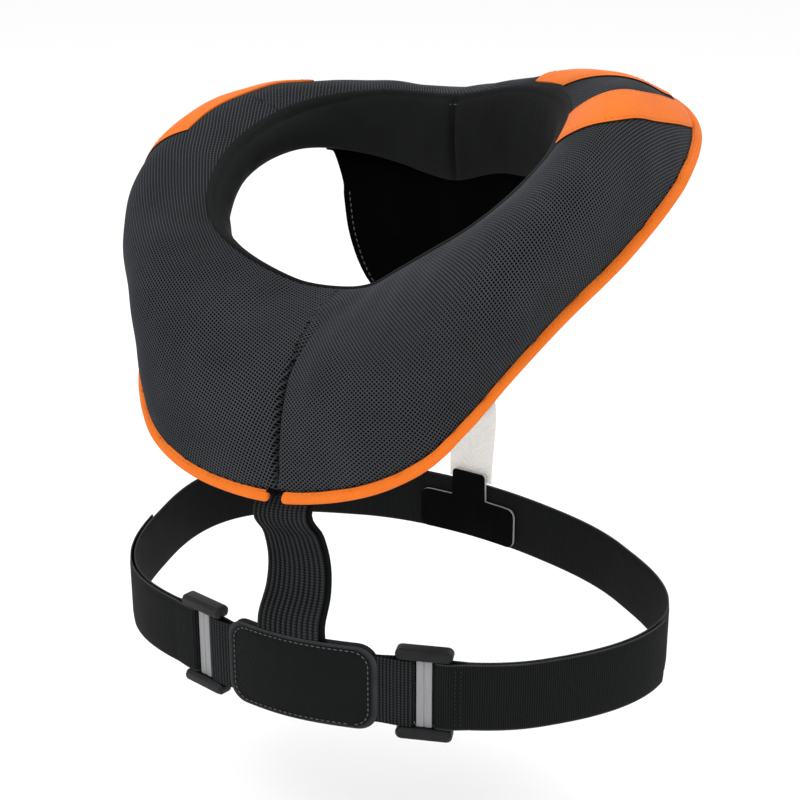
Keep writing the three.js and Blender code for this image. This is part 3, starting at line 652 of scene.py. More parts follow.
def lining_finish():
    """Smooth stretch jersey over foam, a little shiny on its crown, with a fine knit."""
    f = Finish("lining_jersey", Sheen_Weight=0.02, Specular_IOR_Level=0.07)
    along, across, _ = f.cloth()
    knit = f.ribs(along, 0.8) * f.ribs(across, 0.8)
    rub = f.speckle(24, 4)
    f.colour(f.blend(rub, paint("060707"), paint("161718")))
    f.roughness(0.55 + rub * 0.15)
    f.relief(knit * 0.6 + f.speckle(5, 3) * 1.4, 0.35)
    return f.material


def orange_finish(name, rib):
    """Woven orange cloth or tape, soiled a little in patches."""
    f = Finish(name, Sheen_Weight=0.05, Specular_IOR_Level=0.15)
    along, across, _ = f.cloth()
    weave = f.ribs(along, rib) * 0.6 + f.ribs(across, rib * 1.15) * 0.4
    rub = f.speckle(14, 4)
    tone = f.blend((weave * 0.5 + rub * 0.6).held(), paint("d25f10"), paint("f27c22"))
    f.colour(tone)
    f.roughness(0.6 + rub * 0.2)
    f.relief(weave, 0.28)
    return f.material


def thread_finish(name, low, high):
    f = Finish(name, Specular_IOR_Level=0.1)
    f.colour(f.blend(f.speckle(3, 2), paint(low), paint(high)))
    f.roughness(0.55 + f.speckle(0.6) * 0.2)
    return f.material


def webbing_finish():
    """Ribbed belt webbing: upright ribs, a tight selvage with a worn line along each edge."""
    f = Finish("belt_grosgrain", Specular_IOR_Level=0.06)
    along, across, _ = f.cloth()
    rib = f.ribs(along, 1.35)
    pick = f.ribs(across, 0.9)
    edge = (((across - BELT_WIDTH / 2).size() - (BELT_WIDTH / 2 - 1.1)) * 1.2).held()
    worn = f.speckle(18, 4)
    body = f.blend((rib * 0.7 + worn * 0.3).held(), paint("050606"), paint("1e1f20"))
    f.colour(f.blend(edge * (0.1 + worn * 0.6), body, paint("56575a")))
    f.roughness(0.6 + worn * 0.2)
    f.relief(rib + pick * 0.35, 0.4)
    return f.material


def elastic_finish(name, pitch, upright_cords=False):
    """Black elastic: cords of rubber under a fine knit."""
    f = Finish(name, Specular_IOR_Level=0.06)
    along, across, _ = f.cloth()
    if upright_cords:
        along, across = across, along
    pick = f.ribs(along, 1.7)
    cords = f.ribs(across, pitch)
    worn = f.speckle(16, 4)
    f.colour(f.blend((cords * (0.25 + pick * 0.6) + worn * 0.2 - 0.05).held(),
                     paint("030303"), paint("36383a")))
    f.roughness(0.6 + worn * 0.2)
    f.relief(cords + pick * 0.45, 0.35)
    return f.material


def leather_finish():
    """Embossed leatherette, painted paler along its rim as a highlight, in patches."""
    f = Finish("grained_leatherette", Specular_IOR_Level=0.08)
    _, _, rim = f.cloth()
    cells = f.grain(1.5)
    worn = f.speckle(12, 5)
    body = f.blend((worn * 0.7 + cells * 0.5).held(), paint("050606"), paint("121313"))
    # Painted highlight: a paler grey along the rim, broken up by the noise
    f.colour(f.blend((rim * (0.3 + worn * 0.7)).held(), body, paint("3c3d40")))
    f.roughness(0.48 + cells * 0.25 + worn * 0.1)
    f.relief(cells * 0.9 + f.speckle(0.8) * 0.3, 0.3)
    return f.material


def plastic_finish():
    """Moulded black plastic, finely spark-eroded, with scuffs in patches."""
    f = Finish("moulded_nylon", Specular_IOR_Level=0.2)
    scuff = f.speckle(9, 6, 0.7)
    fine = f.speckle(0.5, 2)
    f.colour(f.blend((scuff * 1.6 - 0.5).held(), paint("08090a"), paint("1b1c1e")))
    f.roughness(0.34 + scuff * 0.2)
    f.relief(fine, 0.08)
    return f.material


def bar_finish():
    """Pale grey bar with drawn lines down its length."""
    f = Finish("drawn_grey_bar", Metallic=0.25, Specular_IOR_Level=0.5)
    place = f.node("Mapping", {"vector_type": "POINT"},
                   {"Vector": f.place(), "Scale": (1.0, 1.0, 0.03)}).outputs[0]
    lines = Varying(f, f.node("TexNoise", {}, {"Vector": place, "Scale": 2200.0}).outputs[0])
    f.colour(f.blend(lines, paint("737375"), paint("98989b")))
    f.roughness(0.35 + lines * 0.2)
    f.relief(lines, 0.06)
    return f.material


def pale_webbing_finish():
    """Undyed webbing, a warm near-white, with a herringbone of fine ribs."""
    f = Finish("pale_webbing", Sheen_Weight=0.15, Specular_IOR_Level=0.25)
    along, across, _ = f.cloth()
    chevron = f.ribs(along + (across - BACK_STRAP_WIDTH / 2).size() * 0.8, 2.2)
    worn = f.speckle(16, 4)
    f.colour(f.blend((chevron * 0.3 + worn * 0.6).held(), paint("f1ebe5"), paint("fffdfb")))
    f.roughness(0.75 + worn * 0.1)
    f.relief(chevron, 0.25)
    return f.material


def board_finish():
    """The back panel: matt black cloth laminated on a board."""
    f = Finish("laminated_panel", Specular_IOR_Level=0.02)
    along, across, _ = f.cloth()
    weave = f.ribs(along, 1.0) * f.ribs(across, 1.0)
    f.colour(f.blend(f.speckle(35, 3), paint("010101"), paint("050505")))
    f.roughness(0.85 + weave * 0.1)
    f.relief(weave, 0.2)
    return f.material


def rubber_finish(name, low, high):
    f = Finish(name, Specular_IOR_Level=0.03)
    cells = f.speckle(1.2, 3)
    f.colour(f.blend(f.speckle(20, 3), paint(low), paint(high)))
    f.roughness(0.7 + cells * 0.15)
    f.relief(cells, 0.15)
    return f.material


# Collar

# The foam runs this share of its width to just under the tape, and has more sections within
# some degrees of the slit
EDGE_OVERLAP, SLIT_ZONE = 1.012, 7


def pad_turns():
    """Turns round the collar, closer together at the slit."""
    ends = (0, SLIT_ZONE), (360 - SLIT_ZONE, 360)
    near = [np.arange(start, end, 0.2) for start, end in ends]
    return np.concatenate([near[0], np.arange(SLIT_ZONE, 360 - SLIT_ZONE, 1.0), near[1]])


def build_pad(finish):
    """The foam under the mesh: its top, its underside and the wall behind the lining."""
    turns, shares = pad_turns()[:, None], shares_eased(61)[None, :]
    below = FOAM_BELOW * np.sin(math.pi * shares) ** 0.4
    top = over_pad(turns, EDGE_OVERLAP * shares, -below)
    shares = EDGE_OVERLAP * shares_eased(31)[None, ::-1]
    under = pad_under(turns, shares) + softness(turns, shares)[..., None] * (0, 0, 0.5)
    wall = mix(under[:, -1:], top[:, :1], np.array((0.25, 0.5, 0.75))[None, :, None])
    ring = from_collar(np.concatenate([top, under, wall], axis=1))
    pad = tube("pad_foam", ring, finish, ring=True)
    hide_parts("collar_pad")
    return pad


def flat_pattern(turns, shares):
    """The mesh cloth laid flat on a table: its middle line bends as much as the cloth's outer
    line is longer than its inner one, and the rest lies square to it."""
    grid = over_pad(turns[:, None], shares[None, :], 0.0, slit=False)
    across = np.concatenate([np.zeros((len(turns), 1)), np.cumsum(steps_of(grid, 1), axis=1)], 1)
    middle, inner, outer = (int(len(shares) * share) for share in (0.5, 0.2, 0.8))
    across = across - across[:, middle:middle + 1]
    way = steps_of(grid)
    apart = across[1:, outer] - across[1:, inner]
    bend = np.concatenate([[0], np.cumsum((way[:, outer] - way[:, inner]) / apart)])
    heading = np.stack([np.cos(bend), np.sin(bend)], -1)
    line = np.cumsum(way[:, middle:middle + 1] * heading[1:], axis=0)
    line = np.concatenate([np.zeros((1, 2)), line])
    square = np.stack([heading[:, 1], -heading[:, 0]], -1)
    return line[:, None] + across[..., None] * square[:, None]


def spacer_panel(name, first, last, finish, pad):
    """One panel of mesh cloth on the pad, pricked with even rows of holes as it lay flat.
    first and last are the turns of its edges at the seam, half way and at the rim."""
    turns, shares = np.arange(min(first) - 1, max(last) + 1.01, 0.4), CLOTH_SHARES
    flat = flat_pattern(turns, shares)
    solid = from_collar(over_pad(turns[:, None], shares[None, :], 0.0))
    normals = grid_normals(solid)
    normals = normals * np.sign(normals[..., 2].mean())
    m = len(shares)
    corner = np.array([i * m + j for i in range(len(turns) - 1) for j in range(m - 1)])
    triangles = np.concatenate([np.stack([corner, corner + 1, corner + m + 1], -1),
                                np.stack([corner, corner + m + 1, corner + m], -1)])
    table = np.concatenate([flat.reshape(-1, 2), np.zeros((flat.size // 2, 1))], -1)
    tree = BVHTree.FromPolygons(table.tolist(), triangles.tolist())
    low, high = flat.reshape(-1, 2).min(0), flat.reshape(-1, 2).max(0)
    a, b = HOLE_PITCH / 2, HOLE_PITCH / 2 * ROW_SHARE
    count = np.ceil((high - low) / (a, b)).astype(int) + 1
    found = np.full(count, -1)
    spots, hits = [], []
    down = Vector((0, 0, -1))
    for i in range(count[0]):
        for j in range(count[1]):
            x, y = low[0] + i * a, low[1] + j * b
            hit = tree.ray_cast(Vector((x, y, 1)), down)
            if hit[2] is not None:
                found[i, j] = len(spots)
                spots.append((x, y))
                hits.append(hit[2])
    spots, around = np.array(spots), triangles[np.array(hits)]
    p0, p1, p2 = (table[around[:, k], :2] for k in range(3))
    area = np.cross(p1 - p0, p2 - p0)
    w1, w2 = np.cross(spots - p0, p2 - p0) / area, np.cross(p1 - p0, spots - p0) / area
    weights = np.stack([1 - w1 - w2, w1, w2], -1)[..., None]
    at = (solid.reshape(-1, 3)[around] * weights).sum(1)
    up = unit((normals.reshape(-1, 3)[around] * weights).sum(1))
    turn = (np.repeat(turns, m)[around][..., None] * weights).sum((1, 2))
    share = (np.tile(shares, len(turns))[around][..., None] * weights).sum((1, 2))
    inside = (through(first, share) < turn) & (turn < through(last, share))
    i, j = np.meshgrid(np.arange(1, count[0] - 1), np.arange(1, count[1] - 1), indexing="ij")
    i, j = i[(i + j) % 2 == 1], j[(i + j) % 2 == 1]
    centre = found[i, j]
    ring = np.stack([found[i + 1, j], found[i, j + 1], found[i - 1, j], found[i, j - 1]], -1)
    whole = (centre >= 0) & (ring >= 0).all(1)
    centre, ring = centre[whole], ring[whole]
    centre, ring = centre[inside[centre]], ring[inside[centre]]
    used, outer = np.unique(ring, return_inverse=True)
    outer = outer.reshape(ring.shape)
    middle, above = at[centre][:, None], up[centre][:, None]
    lip = mix(middle, at[ring], LIP) + above * LIP_RISE
    pit = mix(middle, at[ring], FLOOR) - above * HOLE_DEPTH
    verts = np.concatenate([at[used] + up[used] * THREAD_RISE, lip.reshape(-1, 3),
                            pit.reshape(-1, 3)])
    lips = len(used) + np.arange(4 * len(centre)).reshape(-1, 4)
    pits = lips + 4 * len(centre)
    after = np.roll(np.arange(4), -1)
    faces = np.concatenate([
        np.stack([outer, outer[:, after], lips[:, after], lips], -1).reshape(-1, 4),
        np.stack([lips, lips[:, after], pits[:, after], pits], -1).reshape(-1, 4), pits])
    facing = np.cross(at[ring[:, 1]] - at[ring[:, 0]], at[ring[:, 2]] - at[ring[:, 0]])
    if (facing * up[centre]).sum() < 0:
        faces = faces[:, ::-1]
    # Painted shade for each point: none on the threads, some at the holes' lips, and full on their
    # floors, where the backing is black
    dark = np.repeat((0, LIP_PAINTED_SHADE, 1), (len(used), lips.size, pits.size))
    holes = np.repeat(spots[centre], 4, 0)
    laid = np.concatenate([spots[used], holes, holes])
    cloth = np.concatenate([laid, dark[:, None]], -1)[faces.ravel()]
    return make_piece(name, verts, faces.tolist(), cloth, finish, parent=pad)


# The lining laps these shares of the way over the pad, and hangs lower beside the back panel
LINING_LAP, LINING_LAP_FRONT = 0.035, 0.012
LINING_HANG, LINING_HANG_TURN, LINING_HANG_RUN = 15, 136, 17
# The upright seam at its back: how many degrees it pulls in, and how far its top drops
JOIN_RUN, JOIN_DROP = 1.6, 3.2


def build_lining(finish, thread):
    """The roll round the neck, joined at the back in an upright seam that pulls it in."""
    turns, heights = np.arange(0, 360, 1.0), shares_eased(25)
    seam, _, _, _, inward, foot, _ = collar_section(turns)
    lower = LINING_HANG * np.exp(-((turns - LINING_HANG_TURN) / LINING_HANG_RUN) ** 2)
    foot = foot - lower[:, None] * np.array((0, 0, 1))
    wall = mix(seam[:, None], foot[:, None], heights[None, :, None])
    pull = np.exp(-(np.abs(turns - 180) / JOIN_RUN) ** 2)[:, None]
    arch = np.sin(math.pi * heights)[None]
    bulge = mix(LINING_LIP, 1, arch**LINING_POWER)
    puff = waves(PUCKERS, turns[:, None], heights[None]) * arch * 0.6
    thick = 1.5 * GAP + LINING_ROLL * bulge * (1 - 0.5 * pull) + puff
    inner = wall + inward[:, None] * thick[..., None]
    inner[:, :, 2] -= JOIN_DROP * pull * (1 - heights[None]) ** 2
    outer = wall[:, ::6] + inward[:, None] * (1.5 * GAP)
    lap = np.linspace(1, 0.15, 5)[None, :]
    behind = (1 - np.cos(np.radians(turns)))[:, None] / 2
    reach = mix(LINING_LAP_FRONT, LINING_LAP, behind) * lap
    over = over_pad(turns[:, None], reach, 0.35 + 1.3 * (1 - lap) ** 0.5)
    sections = from_collar(np.concatenate([over, inner, outer[:, ::-1]], axis=1))
    lining = tube("lining_roll", sections, finish, ring=True)
    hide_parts("neck_lining")
    seam, _, _, _, inward, _, _ = collar_section(np.arange(0, 360, 0.5))
    row = seam + inward * 2.9 + np.array((0, 0, -2.2))
    stitches("lining_stitches", from_collar(row), from_collar(unit(inward + (0, 0, 1))),
             thread, lining, pitch=4.2)


# Half of the tape's section: the way in from the rim and the height, as shares of the tape's
# width and thickness
TAPE_HALF = ((1.1, 0.38), (1.06, 0.49), (0.85, 0.53), (0.5, 0.53), (0.26, 0.47), (0.1, 0.33),
             (0.02, 0.16))


def build_binding(finish, thread, seam):
    """Orange tape folded over the collar's edge and sewn through, open at the slit."""
    ends = SLIT_TURN + np.array((0, 0.25, 0.6))
    turns = np.concatenate([ends, np.arange(3, 358, 1.0), 360 - ends[::-1]])
    _, rim, out, normal, _, _, _ = collar_section(turns)
    profile = np.array(list(TAPE_HALF) + [(inside, -up) for inside, up in reversed(TAPE_HALF)])
    full = np.ones(len(turns))
    full[[0, -1]], full[[1, -2]] = 0.45, 0.85
    thick = TAPE_THICKNESS * full * (1 + waves(TAPE_WAVES, turns)) * slimness(turns)
    reach = (0.5 - profile[:, 0])[None, :] * TAPE_WIDTH * full[:, None]
    rise = profile[:, 1][None, :] * thick[:, None]
    middle = rim - out * (TAPE_WIDTH / 2)
    sections = middle[:, None] + out[:, None] * reach[..., None] + normal[:, None] * rise[..., None]
    binding = tube("edge_tape", from_collar(sections), finish)
    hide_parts("edge_binding")
    fine = np.arange(3, 357, 0.5)
    _, rim, out, normal, _, _, _ = collar_section(fine)
    thick = TAPE_THICKNESS * slimness(fine)[:, None]
    for side, word in ((1, "top"), (-1, "under")):
        edge = rim - out * (TAPE_WIDTH * 1.1) + normal * side * 0.47 * thick
        # A dark brown cord where the tape meets the mesh: painted shade in that crease
        shade_cord(f"tape_crease_shade_{word}", from_collar(edge), 0.4, seam, binding)
        row = rim - out * (TAPE_WIDTH * 0.72) + normal * side * 0.52 * thick
        stitches(f"tape_stitches_{word}", from_collar(row), from_collar(normal * side),
                 thread, binding, pitch=4.0, length=2.8, thread=0.4)


# How high a band's cloth lies over the pad, its thickness, and where its seams run across it
BAND_RISE, BAND_THICKNESS, BAND_SEAM = 0.6, 1.1, 0.07


def build_band(name, finish, thread, seam):
    """One band of orange cloth on the pad, turned under and sewn along both edges."""
    side, start, end, front, back = BANDS[name]
    t = np.linspace(0, 1, 49)
    v = mix(start, end, t)
    lines = [through(front, t), through(back, t)]
    turns = mix(lines[0][:, None], lines[1][:, None], np.linspace(0, 1, 33)[None, :])
    grid = from_collar(over_pad(side * turns, v[:, None], GAP + BAND_RISE))
    width, reach = (steps_of(grid, axis).sum(axis=axis).mean() for axis in (1, 0))
    piece = strap(name.replace("_band", "_cloth"), name, grid, BAND_THICKNESS, width, reach,
                  finish, "orange_fabric", held="stretched", rests_on=["pad_foam"])
    for line, word in zip(lines, ("front", "back")):
        edge = from_collar(over_pad(side * line, v, GAP + 0.35))
        # Dark brown cords along the band's edges, where it meets the mesh: painted shade in those
        # creases
        shade_cord(f"{name}_seam_{word}", edge, 0.45, seam, piece)
    for share, word in ((BAND_SEAM, "front"), (1 - BAND_SEAM, "back")):
        line = side * mix(lines[0], lines[1], share)
        row = from_collar(over_pad(line, v, GAP + 1.2))
        above = from_collar(over_pad(line, v, GAP + 3))
        stitches(f"{name}_stitches_{word}", row, unit(above - row), thread,
                 piece, pitch=3.6, thread=0.35)


# Belt

def buckle_frame(side):
    """Middle, way along the belt from the patch, and way out of one adjuster."""
    turn = side * BUCKLE_TURN[side]
    middle = belt_point(turn)
    along = unit(belt_point(turn + side * 4) - belt_point(turn - side * 4))
    out = unit(middle)
    out = unit(out - along * (out @ along))
    return middle, along, out


def bar_loop(side, bar_at, towards):
    """The turn of a strap round one bar, from outside the bar to inside."""
    middle, along, out = buckle_frame(side)
    radius = BAR_THICKNESS / 2 + GAP + WEBBING / 2
    flat = BAR_WIDTH / 2 - GAP
    past = bar_at - towards * TURN_START
    angles = np.radians(np.linspace(90, -90, 13))
    way = np.concatenate([[past], bar_at + towards * (flat + radius * np.cos(angles)), [past]])
    off = np.concatenate([[radius], radius * np.sin(angles), [-radius]])
    return middle + along * way[:, None] + out * off[:, None]


def upright(name, plan, finish, slot, node):
    """An upright strap along a path in plan, as high as the belt."""
    way = ways_of(plan)
    spots = np.unique(np.concatenate([way, np.arange(0, way[-1], 2.5)]))
    spots = spots[np.concatenate([[True], np.diff(spots) > 0.3])]
    dense = read_along(plan, way, spots)
    grid = from_belt(dense[:, None], np.linspace(-BELT_WIDTH / 2, BELT_WIDTH / 2, 9)[None])
    return strap(name, node, grid, WEBBING, BELT_WIDTH, ways_of(dense)[-1], finish, slot,
                 held="stretched")


def build_webbing(finish, thread):
    """The belt: one strap round the back, turned round both adjusters' bars and back outside."""
    near = {side: side * turn_along(side * BUCKLE_TURN[side], side * LOOP_REACH)
            for side in (1, -1)}
    outer = {side: belt_point(side * np.linspace(OUTER_LAYER_END, near[side], 60),
                              LAYER_PITCH / 2) for side in (1, -1)}
    loop = {side: bar_loop(side, BAR_PITCH, -1) for side in (1, -1)}
    inner = belt_point(np.linspace(near[1], 360 - near[-1], 260), -LAYER_PITCH / 2)
    plan = np.concatenate([outer[1], loop[1], inner, loop[-1][::-1], outer[-1][::-1]])
    webbing = upright("belt_strap", plan, finish, "webbing", "belt_webbing")
    heights = np.linspace(-BELT_WIDTH / 2 + 2, BELT_WIDTH / 2 - 2, 20)
    start = BAR_PITCH + TURN_START
    for side, word in SIDES:
        middle, along, out = buckle_frame(side)
        for k, way in enumerate((18.0, 21.0)):
            off = mix(BAR_THICKNESS / 2 + GAP + WEBBING / 2, LAYER_PITCH / 2,
                      (way - start) / (LOOP_REACH - start))
            row = from_belt(middle + along * way + out * (off + WEBBING / 2 + 0.1), heights)
            normals = np.tile((out[0], out[1], 0), (len(heights), 1))
            stitches(f"belt_stitches_{word}_{k}", row, normals, thread, webbing,
                     pitch=2.6, length=1.7, thread=0.4)


def build_bar_web(side, word, finish):
    """The dark web of the adjuster behind its grey bar, between the straps' turns."""
    middle, along, out = buckle_frame(side)
    ways = np.linspace(-6, 6, 5)[:, None] * side
    plan = middle + along * ways - out * (BAR_THICKNESS / 2 + 0.7)
    heights = np.linspace(-BELT_WIDTH / 2, BELT_WIDTH / 2, 5)
    slab(f"bar_web_{word}", from_belt(plan[:, None], heights[None]), 0.8, finish)


def build_side_elastic(side, word, finish):
    """A short elastic from inside the patch, round the adjuster's near bar and back."""
    start = turn_along(PATCH_TURN, side * (PATCH_WIDTH / 2 - STRAP_TUCK))
    end = turn_along(side * BUCKLE_TURN[side], -side * LOOP_REACH)
    run = [belt_point(np.linspace(start, end, 12), layer * LAYER_PITCH / 2) for layer in (1, -1)]
    plan = np.concatenate([run[0], bar_loop(side, -BAR_PITCH, 1), run[1][::-1]])
    upright(f"short_elastic_{word}", plan, finish, "elastic", f"side_elastic_{word}")


def rounded_outline(width, height, corner, points):
    """Points round a rectangle with rounded corners, from its lower right corner and back to it,
    and the way to each."""
    spots = []
    for cx, cy, start in ((1, -1, -90), (1, 1, 0), (-1, 1, 90), (-1, -1, 180)):
        for angle in np.radians(np.linspace(start, start + 90, points)):
            spots.append((cx * (width / 2 - corner) + corner * math.cos(angle),
                          cy * (height / 2 - corner) + corner * math.sin(angle)))
    closed = np.array(spots + spots[:1])
    return closed, ways_of(closed)


def on_patch(spots, offset):
    """Points drawn on the flat patch, x along the belt and y up, laid on the belt's curve."""
    turn = turn_along(PATCH_TURN, spots[..., 0] - PATCH_REACH / 2)
    return from_belt(belt_point(turn, offset), spots[..., 1])


# The leather in rings from the middle of its back round the rim to the middle of its front: size
# as a share of the patch, height over the back as a share of half the thickness, and how much
# painted highlight the ring takes along the rim
PATCH_RINGS = ((0.0, 0, 1), (0.35, 0, 1), (0.7, 0, 1), (0.995, 0, 1),
               (1.0, 0, 1), (0.985, 0.55, 1), (0.955, 0.8, 0.7), (0.92, 0.62, 0), (0.89, 0.5, 0),
               (0.86, 0.62, 0), (0.81, 0.95, 0), (0.72, 1.2, 0), (0.55, 1.45, 0), (0.35, 1.6, 0),
               (0.15, 1.65, 0), (0.0, 1.65, 0))
# The front's rings close to a short line, a share of the width, and the back's to a point
PATCH_MIDDLE = 0.02
PATCH_SEAM = 0.89


def build_patch(word, sign, finish, thread):
    """One layer of leatherette: crowned over the straps inside, pressed in along its seam."""
    rest = sign * (LAYER_PITCH / 2 + WEBBING / 2 + GAP + LEATHER / 2)
    width = PATCH_WIDTH + PATCH_REACH
    closed, ways = rounded_outline(width, PATCH_HEIGHT, PATCH_CORNER, 10)
    outline = read_along(closed, ways, np.arange(0, ways[-1], 1.6))
    n = len(outline)
    verts, cloth = [], []
    for share, lift, rim in PATCH_RINGS:
        spots = outline * (mix(PATCH_MIDDLE if lift else 0, 1, share), share)
        verts += list(on_patch(spots, rest + sign * (lift - 1) * LEATHER / 2))
        cloth += [(x, y, rim) for x, y in spots]
    faces = [(i * n + j, i * n + (j + 1) % n, (i + 1) * n + (j + 1) % n, (i + 1) * n + j)[::sign]
             for i in range(len(PATCH_RINGS) - 1) for j in range(n)]
    corners = [cloth[k] for face in faces for k in face]
    patch = make_piece(f"patch_leather_{word}", verts, faces, corners, finish)
    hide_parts(f"patch_{word}")
    closed, ways = rounded_outline(width * PATCH_SEAM, PATCH_HEIGHT * PATCH_SEAM,
                                   PATCH_CORNER * 0.8, 14)
    seam = read_along(closed, ways, np.linspace(0, ways[-1], 160))
    row = on_patch(seam, rest + sign * 0.12)
    lifted = on_patch(seam, rest + sign * 2)
    stitches(f"patch_stitches_{word}", row, unit(lifted - row), thread, patch,
             pitch=3.4, length=2.3, thread=0.42)


# Faces of the tab turned further than this from its flat ones are its cut edge
EDGE_FACING = 0.55


def build_tab(face, edge):
    """The rubber tab on the belt's inside, its cut edge pale."""
    tab = eased("back_tab", "rubber_tab", face, 0.25)
    tab.data.materials.append(edge)
    out = Vector((*(belt_point(TAB_TURN, 1) - belt_point(TAB_TURN)), 0))
    for polygon in tab.data.polygons:
        if abs(polygon.normal.dot(out)) < EDGE_FACING:
            polygon.material_index = 1


# Straps between collar and belt

# Where the straps lie under the pad, as shares from its inner edge to its rim
FRONT_TUCK, PANEL_TUCK = (0.44, 0.58, 0.72), (0.36, 0.25)
# The front elastic: its cords, how far they stand out and where their middle lies, and the
# length and depth of its slow waves
FRONT_CORDS, CORD_RISE, CORD_MIDDLE, WAVE_LENGTH, WAVE_RISE = 12, 0.38, 0.2, 7.5, 0.16


def tucked(turns, v, below):
    """Points under the pad, some way below its underside."""
    return from_collar(pad_under(turns, v) - collar_section(turns)[3] * below)


def front_surface(ways):
    """Middle surface of the front strap: under the pad, then free, then inside the patch."""
    turns = (ways + TUCK_SHIFT) / RIM_WAY * TABLE_STEP
    tuck = [tucked(turns, v, 3 * GAP + FRONT_STRAP_THICKNESS / 2) for v in FRONT_TUCK]
    plan = belt_point(turn_along(0, ways + PATCH_SHIFT), FRONT_STRAP_THICKNESS / 2)
    heights = np.linspace(PATCH_HEIGHT / 2 + 1, PATCH_HEIGHT / 2 - STRAP_TUCK, 3)
    inside = [from_belt(plan, z) for z in heights]
    free = [mix(tuck[-1], inside[0], down) + np.array((beside, behind, 0)) * STRAP_SAG
            for down, behind, beside in FRONT_STRAP_ROWS]
    return refined(np.array(tuck + free + inside), 6)


def refined(rows, times):
    """More rows between some rows of points, on smooth curves through them."""
    padded = np.concatenate([2 * rows[:1] - rows[1:2], rows, 2 * rows[-1:] - rows[-2:-1]])
    made = [smooth(*padded[i:i + 4], t) for i in range(len(rows) - 1)
            for t in np.arange(times) / times]
    return np.array(made + [rows[-1]])


def build_front_straps(elastic, plain):
    """The ribbed front strap and the smooth one behind it."""
    across = np.linspace(0, 1, FRONT_CORDS * 6 + 1)
    grid = front_surface((across - 0.5) * FRONT_STRAP_WIDTH)
    length = ways_of(grid[:, len(across) // 2])
    cords = CORD_RISE * np.abs(np.sin(math.pi * FRONT_CORDS * across)) - CORD_MIDDLE
    wave = WAVE_RISE * np.sin(length / WAVE_LENGTH)[:, None] * np.sin(math.pi * across)
    grid = grid + grid_normals(grid) * (cords[None, :] + wave)[..., None]
    strap("front_elastic_strap", "front_elastic", grid, FRONT_STRAP_THICKNESS - 0.4,
          FRONT_STRAP_WIDTH, length[-1], elastic, "elastic", held="hung", rests_on=["pad_foam"])
    grid = front_surface(BACKING_SHIFT + np.linspace(-BACKING_WIDTH / 2, BACKING_WIDTH / 2, 13))
    behind = (FRONT_STRAP_THICKNESS + BACKING) / 2 + BACKING_GAP
    strap("front_backing_strap", "front_backing", grid - grid_normals(grid) * behind, BACKING,
          BACKING_WIDTH, length[-1], plain, "lining", held="hung", rests_on=["pad_foam"])


def build_back_panel(finish, edge):
    """The board behind the neck: tucked under the collar, then curved and drawn in to its foot."""
    shares = np.linspace(1, -1, 41)
    turns = 180 + PANEL_TURN * shares
    rows = [tucked(turns, v, 5 * GAP + PANEL_THICKNESS / 2) for v in PANEL_TUCK]
    for down, behind, half in PANEL_ROWS:
        x = -shares * half * PANEL_HALF_WIDTH
        y = behind * COLLAR_BACK_REACH - PANEL_BEND * (x / PANEL_HALF_WIDTH) ** 2
        rows.append(np.stack([x, y, np.full_like(x, -down * BELT_DROP)], -1))
    grid = refined(np.array(rows), 5)
    panel = slab("panel_board", grid, PANEL_THICKNESS, finish)
    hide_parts("back_panel")
    normal, first = grid_normals(grid), 12
    for column, word in ((1, "left"), (-2, "right")):
        up = normal[first:, column]
        stitches(f"panel_stitches_{word}", grid[first:, column] + up * PANEL_THICKNESS / 2, up,
                 edge, panel, pitch=4.5, length=3.0)


def build_back_strap(finish):
    """The pale strap: down the panel's outside, then free to the belt's inner face."""
    top = PANEL_ROWS[-3][0] * BELT_DROP
    low = BELT_DROP - BELT_WIDTH / 2 - 1
    leaves = (PANEL_ROWS[-1][0] * BELT_DROP - top) / (low - top) + 0.05
    outside = PANEL_ROWS[-1][1] * COLLAR_BACK_REACH + PANEL_THICKNESS / 2 + 2 * GAP + WEBBING / 2
    rest = -LAYER_PITCH / 2 + GAP
    ways = np.linspace(-BACK_STRAP_WIDTH / 2, BACK_STRAP_WIDTH / 2, 17)
    ends = from_belt(belt_point(turn_along(TAB_TURN, -ways), rest), 0.0)
    rows = []
    for t in np.linspace(0, 1, 41):
        free = smooth(0, 0, 1, 1, max(0, (t - leaves) / (1 - leaves)))
        rows.append(np.stack([mix(ways, ends[:, 0], t), mix(outside, ends[:, 1], free),
                              np.full_like(ways, -mix(top, low, t))], -1))
    grid = np.array(rows)
    strap("pale_strap", "back_strap", grid, WEBBING, BACK_STRAP_WIDTH,
          ways_of(grid[:, len(ways) // 2])[-1], finish, "pale_webbing", held="hung",
          rests_on=["panel_board"])


# Studio

# The floor's half width and height, and the lights: place, size and power
FLOOR_SIZE, FLOOR_HEIGHT = 6, -0.42
LIGHTS = {"key": ((-0.9, -1.5, 1.5), 1.2, 14), "fill": ((1.5, -1.0, 0.7), 1.4, 5),
          "top": ((0.1, 0.9, 1.6), 1.3, 9)}
LIGHT_TARGET = (0, 0, -0.1)


